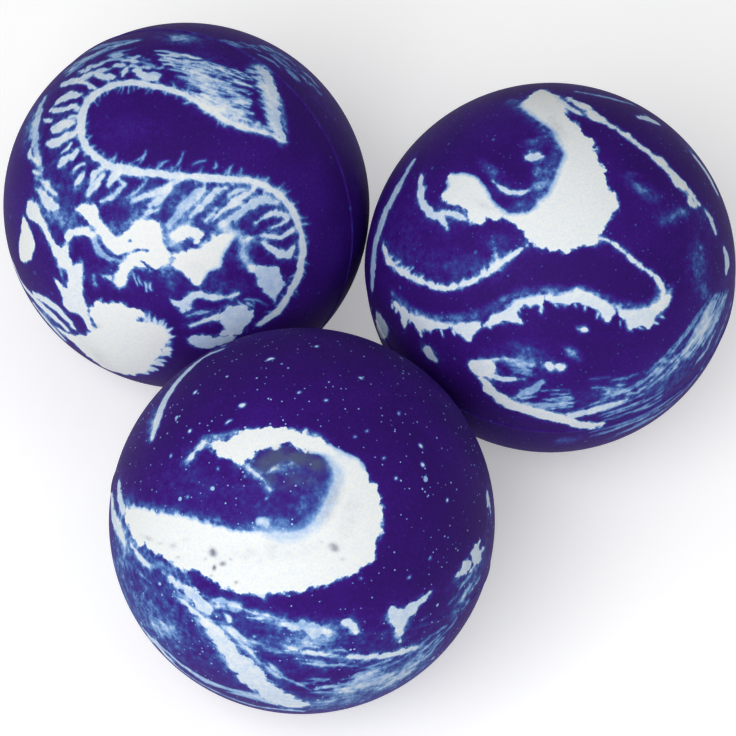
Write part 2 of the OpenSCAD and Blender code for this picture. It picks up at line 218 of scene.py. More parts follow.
@dataclass(frozen=True)
class Band:
    """A streak along a line: rows of across, up and half width."""

    rows: Rows
    look: Look = WHITE
    piece: str = ""
    side: Side = Side.FRONT


@dataclass(frozen=True)
class Patch:
    """A streak with an outline: rows of across and up, given clockwise or not."""

    rows: Rows
    look: Look = WHITE
    piece: str = ""
    side: Side = Side.FRONT


@dataclass(frozen=True)
class Cloud:
    """A soft patch of thin white: middle, half sizes along and across its turn, and strength."""

    across: float
    up: float
    long: float
    wide: float
    turn: float
    strength: float
    side: Side = Side.FRONT


@dataclass(frozen=True)
class Smudge(Cloud):
    """A soft grey patch, laid out as a cloud is."""


@dataclass(frozen=True)
class Glow:
    """Thin white that fades away from a line: rows of across and up, reach and strength."""

    rows: Rows
    reach: float
    strength: float
    side: Side = Side.FRONT


@dataclass(frozen=True)
class Gap:
    """Blue that parts white rubber along a line: rows of across, up and half width."""

    rows: Rows
    side: Side = Side.FRONT


@dataclass(frozen=True)
class Sheaf:
    """Fine fibres that run side by side between two guides.

    Attributes:
        POINTS: How many points along a guide are measured.
        TAPER: How wide a fibre is along it, as shares of its half width.
        LENGTHS: The least and most of a fibre's length, as shares of length.
        WIDTHS: The least and most of its half width, as shares of half.
        MILKS: The least and most of its milk, as shares of its look's.
        inner: One guide: rows of across and up.
        outer: The other guide, run the same way.
        count: How many fibres.
        length: How long a fibre is, as a share of the guides.
        half: Half the width of a fibre, as a share of the radius.
        seed: What their places are drawn from.
        look: Their look.
        piece: The node that they are part of.
        side: The side that they lie on.
    """

    POINTS = 33
    TAPER = (0.3, 0.9, 1.0, 0.8, 0.3)
    LENGTHS = (0.5, 1.3)
    WIDTHS = (0.5, 1.4)
    MILKS = (0.6, 1.25)

    inner: Rows
    outer: Rows
    count: int
    length: float = 0.35
    half: float = 0.006
    seed: int = 1
    look: Look = FINE
    piece: str = ""
    side: Side = Side.FRONT

    def strokes(self) -> list[Band]:
        """The fibres as bands."""
        chance = np.random.default_rng(self.seed)
        inner, outer = (resample(curve(np.array(rows), 8, closed=False), self.POINTS)
                        for rows in (self.inner, self.outer))
        fibres = []
        for lane in (np.arange(self.count) + chance.uniform(0, 1, self.count)) / self.count:
            line = inner + (outer - inner) * lane
            reach = self.length * chance.uniform(*self.LENGTHS)
            first = chance.uniform(-0.3 * reach, 1 - 0.7 * reach)
            at = np.clip(np.linspace(first, first + reach, len(self.TAPER)), 0, 1) * (self.POINTS - 1)
            places = np.column_stack([np.interp(at, np.arange(self.POINTS), line[:, k]) for k in (0, 1)])
            places += chance.normal(0, self.half * 0.5, places.shape)
            wide = self.half * chance.uniform(*self.WIDTHS)
            rows = tuple((*place, wide * share) for place, share in zip(places, self.TAPER))
            milk = min(self.look.milk * chance.uniform(*self.MILKS), 1.0)
            fibres.append(Band(rows, replace(self.look, milk=milk), self.piece, self.side))
        return fibres


@dataclass(frozen=True)
class Blur:
    """A stretch of edge without a clear line: rows of across and up, reach and how far it fades."""

    rows: Rows
    reach: float
    fade: float
    side: Side = Side.FRONT


@dataclass(frozen=True)
class Hairs:
    """Short hairs that stand off a line.

    Attributes:
        LEAN_STRAY: How far their lean strays, in degrees.
        START_STRAY: How far they stray along the line, as a share of the radius.
        LENGTHS: The least and most of a hair's length, as shares of length.
        rows: The line: rows of across and up.
        count: How many hairs.
        length: How long a hair is, as a share of the radius.
        hands: Which hands of the line they stand on, +1 for left and -1 for right.
        lean: How far they lean forward, in degrees.
        half: Half the width of a hair.
        seed: What their straying is drawn from.
        look: The look whose milk they have; the rest of theirs is fine.
        side: The side that they lie on.
    """

    LEAN_STRAY = 15
    START_STRAY = 0.012
    LENGTHS = (0.4, 1.3)

    rows: Rows
    count: int
    length: float
    hands: tuple[int, ...] = (1, -1)
    lean: float = 20.0
    half: float = 0.005
    seed: int = 1
    look: Look = Look(milk=0.5)
    side: Side = Side.FRONT

    def strokes(self) -> list[Band]:
        """The hairs as bands."""
        chance = np.random.default_rng(self.seed)
        fine = replace(self.look, torn=0.004, left=0.006, right=0.006, smear=0.12)
        line = resample(curve(np.array(self.rows)[:, :2], 6, closed=False), self.count)
        run = unit(np.gradient(line, axis=0))
        hairs = []
        for place, along in zip(line, run):
            hand = self.hands[chance.integers(len(self.hands))]
            off = np.array([-along[1], along[0]]) * hand
            lean = math.radians(self.lean + chance.normal(0, self.LEAN_STRAY))
            way = off * math.cos(lean) + along * math.sin(lean)
            start = place + along * chance.normal(0, self.START_STRAY)
            end = start + way * self.length * chance.uniform(*self.LENGTHS)
            rows = ((*start, self.half), (*((start + end) / 2), self.half), (*end, self.half * 0.3))
            hairs.append(Band(rows, fine, "", self.side))
        return hairs


@dataclass(frozen=True)
class Comb:
    """Fine strokes side by side, from points of one line to points of another.

    Attributes:
        LENGTHS: The least and most of a stroke's length, as shares of the way across.
        WIDTHS: The least and most of its half width, as shares of half.
        start: The line on which the strokes begin: rows of across and up.
        end: The line on which they end.
        count: How many strokes.
        half: Half the width of a stroke.
        wander: How far a stroke's ends stray, as a share of the radius.
        seed: What the straying is drawn from.
        look: The strokes' look.
        piece: The node that they are part of.
        side: The side that they lie on.
    """

    LENGTHS = (0.55, 1.0)
    WIDTHS = (0.6, 1.3)

    start: Rows
    end: Rows
    count: int
    half: float = 0.009
    wander: float = 0.02
    seed: int = 1
    look: Look = STROKE
    piece: str = ""
    side: Side = Side.FRONT

    def strokes(self) -> list[Band]:
        """The comb's strokes as bands."""
        chance = np.random.default_rng(self.seed)
        starts, stops = (resample(np.array(line), self.count) for line in (self.start, self.end))
        strokes = []
        for a, b in zip(starts, stops):
            a = a + chance.normal(0, self.wander, 2)
            b = b + chance.normal(0, self.wander, 2)
            b = a + (b - a) * chance.uniform(*self.LENGTHS)
            bow = (a + b) / 2 + chance.normal(0, self.wander / 2, 2)
            wide = self.half * chance.uniform(*self.WIDTHS)
            rows = ((*a, wide * 0.4), (*bow, wide), (*b, wide * 0.3))
            strokes.append(Band(rows, self.look.finer(wide, 0.7), self.piece, self.side))
        return strokes


@dataclass(frozen=True)
class Strokes:
    """Short strokes laid one by one.

    Attributes:
        BOWS: How far they bow, by turns, as shares of their length.
        rows: Rows of across and up of both ends, and half width.
        look: The strokes' look.
        piece: The node that they are part of.
        side: The side that they lie on.
    """

    BOWS = (-0.07, 0.1)

    rows: Rows
    look: Look = STROKE
    piece: str = ""
    side: Side = Side.FRONT

    def strokes(self) -> list[Band]:
        """The strokes as bands, bowed one way and the other by turns."""
        strokes = []
        for number, (x0, y0, x1, y1, half) in enumerate(self.rows):
            bow = self.BOWS[number % 2]
            middle = ((x0 + x1) / 2 - bow * (y1 - y0), (y0 + y1) / 2 + bow * (x1 - x0))
            rows = ((x0, y0, half * 0.6), (*middle, half), (x1, y1, half * 0.6))
            strokes.append(Band(rows, self.look.finer(half, 0.8), self.piece, self.side))
        return strokes


def resample(line: np.ndarray, count: int) -> np.ndarray:
    """Points evenly spread along a line."""
    steps = np.linalg.norm(np.diff(line, axis=0), axis=1)
    along = np.concatenate([[0.0], np.cumsum(steps)])
    at = np.linspace(0.0, along[-1], count)
    return np.column_stack([np.interp(at, along, line[:, k]) for k in range(line.shape[1])])


Mark = Band | Patch | Gap | Cloud | Glow | Blur | Hairs | Comb | Sheaf | Strokes


class Marbling:
    """What the marbling is at each point of a ball's skin.

    The fields are level, the signed distance to white in shares of the radius; milk and torn, the
    look of the nearest streak; soft, how wide its edge fades; haze, thin white spread into the
    blue, on top of a lift of the whole ball's blue that is painted light where one ball gets more
    than another; and grey, how dull it is. Lengths are shares of the radius.

    Attributes:
        REACH: How far beyond its width a mark acts.
        SHARP: How wide an edge of white is at its sharpest.
        BLEND: How softly the looks of two marks meet.
        THINNEST: The least half width of a band.
        LEAST_SPREAD: The least length over which white smears.
        OUTSIDE: What stands for far outside.
        SHORT: How far short of the front's rim the bands of the other sides stop.
        CUT_FADE: Between which levels a gap takes haze away.
        CUT_HAZE: How much of the haze it takes.
        SPOT_FALL: How fast a soft patch falls off.
        SPOT_FADE: Where a soft patch fades as its own side turns away.
        FRONT_FADE: Where one on another side fades towards the front.
        TEAR_EASE: How much less a soft edge is torn.
    """

    REACH = 0.16
    SHARP = 0.005
    BLEND = 0.012
    THINNEST = 0.002
    LEAST_SPREAD = 1e-4
    OUTSIDE = -9.0
    SHORT = 0.12
    CUT_FADE = (-0.02, 0.01)
    CUT_HAZE = 0.5
    SPOT_FALL = 1.5
    SPOT_FADE = (-0.55, -0.1)
    FRONT_FADE = (-0.3, -0.02)
    TEAR_EASE = 0.9

    def __init__(self, directions: np.ndarray, faces: dict[Side, Face], thin: float) -> None:
        """Starts a field with no streaks in it.

        Args:
            directions: Unit directions from the ball's middle to the points.
            faces: The ball's faces by side.
            thin: How far the blue is lifted towards light blue all over; a larger lift on one ball than on
                another is painted light.
        """
        count = len(directions)
        self.directions = directions
        self.faces = faces
        self.seen = {side: face.seen(directions) for side, face in faces.items()}
        self.level = np.full(count, -self.REACH)
        self.milk = np.ones(count)
        self.torn = np.full(count, WHITE.torn)
        # Every point starts with the ball's lift towards light blue; where one ball gets more than another,
        # this is painted light.
        self.clear = np.full(count, 1.0 - thin)
        self.grey = np.zeros(count)
        self.soft = np.full(count, self.SHARP)
        self.pieces: dict[str, np.ndarray] = {}

    def lay(self, marks: tuple[Mark, ...]) -> None:
        """Lays marks on the ball, one after another."""
        for mark in marks:
            if isinstance(mark, Band):
                self.lay_band(mark)
            elif isinstance(mark, Patch):
                self.lay_patch(mark)
            elif isinstance(mark, (Comb, Hairs, Sheaf, Strokes)):
                for stroke in mark.strokes():
                    self.lay_band(stroke)
            elif isinstance(mark, Gap):
                self.cut(mark)
            elif isinstance(mark, Glow):
                chosen, near = self.beside(mark)
                self.clear[chosen] *= 1.0 - mark.strength * near
            elif isinstance(mark, Blur):
                chosen, near = self.beside(mark)
                self.soft[chosen] = np.maximum(self.soft[chosen], mark.fade * near)
            elif isinstance(mark, Smudge):
                self.grey = np.maximum(self.grey, mark.strength * self.soft_spot(mark))
            else:
                self.clear *= 1.0 - mark.strength * self.soft_spot(mark)

    def near(self, line: np.ndarray) -> np.ndarray:
        """Indexes of the points that lie within reach of a line of directions."""
        middle = unit(line.mean(axis=0))
        span = np.linalg.norm(line - middle, axis=1).max() + self.REACH
        return np.flatnonzero(np.linalg.norm(self.directions - middle, axis=1) < span)

    def to_line(self, chosen: np.ndarray, line: np.ndarray,
                half: np.ndarray) -> tuple[np.ndarray, np.ndarray]:
        """Measures points against a line.

        Args:
            chosen: Indexes of the points to measure.
            line: Directions along the line.
            half: Half width at each of them.

        Returns:
            How far each point lies inside the line's width, and which hand it is on (+1 is left).
        """
        points = self.directions[chosen]
        inside = np.full(len(chosen), self.OUTSIDE)
        hand = np.ones(len(chosen))
        for a, b, wa, wb in zip(line[:-1], line[1:], half[:-1], half[1:]):
            run = b - a
            length = float(run @ run)
            if length < TINY:
                continue
            t = np.clip((points - a) @ run / length, 0.0, 1.0)
            gap = points - a - t[:, None] * run
            here = wa + (wb - wa) * t - np.sqrt(np.einsum("ij,ij->i", gap, gap))
            better = here > inside
            inside[better] = here[better]
            hand[better] = np.where(points[better] @ np.cross(a, run) > 0, 1.0, -1.0)
        return inside, hand

    def to_band(self, band: Band | Gap) -> tuple[np.ndarray, np.ndarray, np.ndarray]:
        """Indexes of the points near a band, how far each is inside it, and on which hand."""
        face = self.faces[band.side]
        rows = curve(np.array(band.rows), SPLINE_STEPS, closed=False)
        places, half = rows[:, :2], np.maximum(rows[:, 2], self.THINNEST)
        run = unit(np.gradient(places, axis=0) + TINY)
        across = np.column_stack([-run[:, 1], run[:, 0]]) * half[:, None]
        edge = face.aim(places + across) - face.aim(places - across)
        wide = np.minimum(np.linalg.norm(edge, axis=1) / 2, half * 3)
        line = face.aim(places)
        chosen = self.near(line)
        inside, hand = self.to_line(chosen, line, wide)
        if band.side is not Side.FRONT:
            inside = inside - np.maximum(self.seen[Side.FRONT][1][chosen] + self.SHORT, 0.0)
        return chosen, inside, hand

    def lay_band(self, band: Band) -> None:
        """Lays one band."""
        chosen, inside, hand = self.to_band(band)
        self.add(chosen, inside, hand, band)

    def cut(self, gap: Gap) -> None:
        """Takes white away along one gap."""
        chosen, inside, _ = self.to_band(gap)
        for level in (self.level, *self.pieces.values()):
            level[chosen] = np.minimum(level[chosen], -inside)
        self.clear[chosen] += ((1 - self.clear[chosen]) * self.CUT_HAZE
                               * smooth_step(*self.CUT_FADE, inside))

    def lay_patch(self, patch: Patch) -> None:
        """Lays one patch."""
        face = self.faces[patch.side]
        places = curve(np.array(patch.rows), 4, closed=True)
        line = face.aim(np.vstack([places, places[:1]]))
        chosen = self.near(line)
        inside, _ = self.to_line(chosen, line, np.zeros(len(line)))
        seen, towards = self.seen[patch.side]
        within = self.within(seen[chosen], places) & (towards[chosen] > 0)
        self.add(chosen, np.where(within, -inside, inside), np.ones(len(chosen)), patch)

    @staticmethod
    def within(points: np.ndarray, outline: np.ndarray) -> np.ndarray:
        """Whether points in a plane lie within an outline."""
        inside = np.zeros(len(points), bool)
        x, y = points[:, 0], points[:, 1]
        for (ax, ay), (bx, by) in zip(outline, np.roll(outline, -1, axis=0)):
            if ay == by:
                continue
            crosses = (ay > y) != (by > y)
            inside ^= crosses & (x < (bx - ax) * (y - ay) / (by - ay) + ax)
        return inside

    def add(self, chosen: np.ndarray, inside: np.ndarray, hand: np.ndarray,
            mark: Band | Patch) -> None:
        """Adds a measured streak to the fields.

        Args:
            chosen: Indexes of the measured points.
            inside: How far each lies inside the streak.
            hand: Which hand of the streak each is on.
            mark: The streak.
        """
        look = mark.look
        turn = smooth_step(-self.BLEND, self.BLEND, inside - self.level[chosen])
        self.level[chosen] = np.maximum(self.level[chosen], inside)
        self.milk[chosen] += (look.milk - self.milk[chosen]) * turn
        self.torn[chosen] += (look.torn - self.torn[chosen]) * turn
        spread = np.where(hand > 0, look.left, look.right)
        smear = look.smear * np.exp(np.minimum(inside, 0.0) / np.maximum(spread, self.LEAST_SPREAD))
        smear *= smooth_step(-self.REACH, -self.REACH / 2, inside)
        self.clear[chosen] *= 1.0 - smear
        if mark.piece:
            level = self.pieces.setdefault(mark.piece, np.full(len(self.level), -self.REACH))
            level[chosen] = np.maximum(level[chosen], inside)

    def beside(self, mark: Glow | Blur) -> tuple[np.ndarray, np.ndarray]:
        """Indexes of the points about a mark's line, and how near each is, from 0 to 1."""
        line = self.faces[mark.side].aim(curve(np.array(mark.rows), SPLINE_STEPS, closed=False))
        chosen = self.near(line)
        inside, _ = self.to_line(chosen, line, np.zeros(len(line)))
        return chosen, np.exp(-((inside / mark.reach) ** 2))

    def soft_spot(self, spot: Cloud) -> np.ndarray:
        """How much of a soft patch each point has, from 0 to 1."""
        seen, towards = self.seen[spot.side]
        off = seen - np.array([spot.across, spot.up])
        turn = math.radians(spot.turn)
        along = off @ np.array([math.cos(turn), math.sin(turn)]) / spot.long
        across = off @ np.array([-math.sin(turn), math.cos(turn)]) / spot.wide
        patch = np.exp(-self.SPOT_FALL * (along**2 + across**2))
        patch *= smooth_step(*self.SPOT_FADE, towards)
        if spot.side is not Side.FRONT:
            patch *= 1.0 - smooth_step(*self.FRONT_FADE, self.seen[Side.FRONT][1])
        return patch

    @property
    def fields(self) -> dict[str, np.ndarray]:
        """What the rubber's material reads at each point, by name."""
        torn = self.torn * (self.SHARP / self.soft) ** self.TEAR_EASE
        return {"level": self.level, "milk": self.milk, "torn": torn, "soft": self.soft,
                "haze": 1.0 - self.clear, "grey": self.grey}


def rows_of(numbers: Row, *parts: int) -> Rows:
    """Reads the rows of a flat table.

    Args:
        numbers: Its numbers, row after row.
        parts: What each number of a row is divided by.

    Returns:
        Its rows, in shares of the radius.
    """
    starts = range(0, len(numbers), len(parts))
    return tuple(tuple(round(n / part, 5) for n, part in zip(numbers[i:], parts)) for i in starts)


def path(*numbers: float) -> Rows:
    """Places along a line: across and up, in hundredths of the radius."""
    return rows_of(numbers, 100, 100)


def ends(*numbers: float) -> Rows:
    """Both ends of strokes, in hundredths of the radius, and half widths in thousandths."""
    return rows_of(numbers, 100, 100, 100, 100, 1000)


def bands(look: Look, *tables: Row, piece: str = "", side: Side = Side.FRONT) -> tuple[Band, ...]:
    """Bands: across and up in hundredths of the radius, and half widths in thousandths."""
    return tuple(Band(rows_of(table, 100, 100, 1000), look, piece, side) for table in tables)


def patches(look: Look, *tables: Row, piece: str = "") -> tuple[Patch, ...]:
    """Patches: across and up in hundredths of the radius."""
    return tuple(Patch(path(*table), look, piece) for table in tables)


def gaps(*tables: Row) -> tuple[Gap, ...]:
    """Gaps: across and up in hundredths of the radius, and half widths in thousandths."""
    return tuple(Gap(rows_of(table, 100, 100, 1000)) for table in tables)


def clouds(*spots: Row, side: Side = Side.FRONT) -> tuple[Cloud, ...]:
    """Clouds: place, half sizes, turn in degrees and strength, all but the turn in hundredths."""
    return tuple(Cloud(*rows_of(spot, 100, 100, 100, 100, 1, 100)[0], side) for spot in spots)


def smudges(*spots: Row) -> tuple[Smudge, ...]:
    """Smudges: place, half sizes, turn in degrees and strength, all but the turn in hundredths."""
    return tuple(Smudge(*rows_of(spot, 100, 100, 100, 100, 1, 100)[0]) for spot in spots)


def turned(rows: Rows, turn: float, size: float) -> Rows:
    """Rows turned about the middle of a face by degrees and brought to a size."""
    along, aside = size * math.cos(math.radians(turn)), size * math.sin(math.radians(turn))
    return tuple((x * along - y * aside, x * aside + y * along, *rest) for x, y, *rest in rows)


def swirl(side: Side, turn: float, size: float, seed: int) -> tuple[Mark, ...]:
    """Marbling for a side that the photograph doesn't show.

    Args:
        side: The side.
        turn: How far it is turned, in degrees.
        size: How wide it spreads, as a share of the radius.
        seed: What its hairs and fibres are drawn from.

    Returns:
        A winding vein with hairs, a thin vein, fibres and thin white around them.
    """
    chance = np.random.default_rng(seed)
    way = rows_of((-85, 5, 4, -62, 30, 26, -30, 42, 50, 0, 28, 75, 2, 0, 50, -12, -25, 30, 8, -50, 35,
                   40, -52, 22, 68, -35, 3), 100, 100, 1000)
    thin = rows_of((30, 75, 3, 55, 50, 14, 60, 20, 20, 45, -5, 12, 50, -25, 3), 100, 100, 1000)
    fibres = path(-75, -30, -42, -60, 5, -85), path(-60, -5, -30, -35, 5, -60)
    spots = rows_of((-30, 15, 45, 22, 24, 30, 25, 40, 30, 14, -40, -45, 40, 20, 26), *[100] * 5)
    vein = tuple((x + chance.normal(0, 0.07), y + chance.normal(0, 0.07),
                  half * chance.uniform(0.4, 1.7)) for x, y, half in way)
    return (
        Glow(turned(vein[2:-1], turn, size), 0.08, 0.3, side),
        Band(turned(vein, turn, size), Look(0.88, 0.03, 0.04, 0.02, 0.4), "", side),
        Hairs(turned(vein[2:-2], turn, size), 20, 0.07, seed=seed, half=0.012, look=SOFT, side=side),
        Band(turned(thin, turn, size), PALE, "", side),
        Sheaf(*(turned(guide, turn, size) for guide in fibres), 26, 0.25, 0.008, seed, FINE, side=side),
        *(Cloud(*turned(((x, y),), turn, size)[0], long * size, wide * size, turn + 40, strength, side)
          for x, y, long, wide, strength in spots),
    )


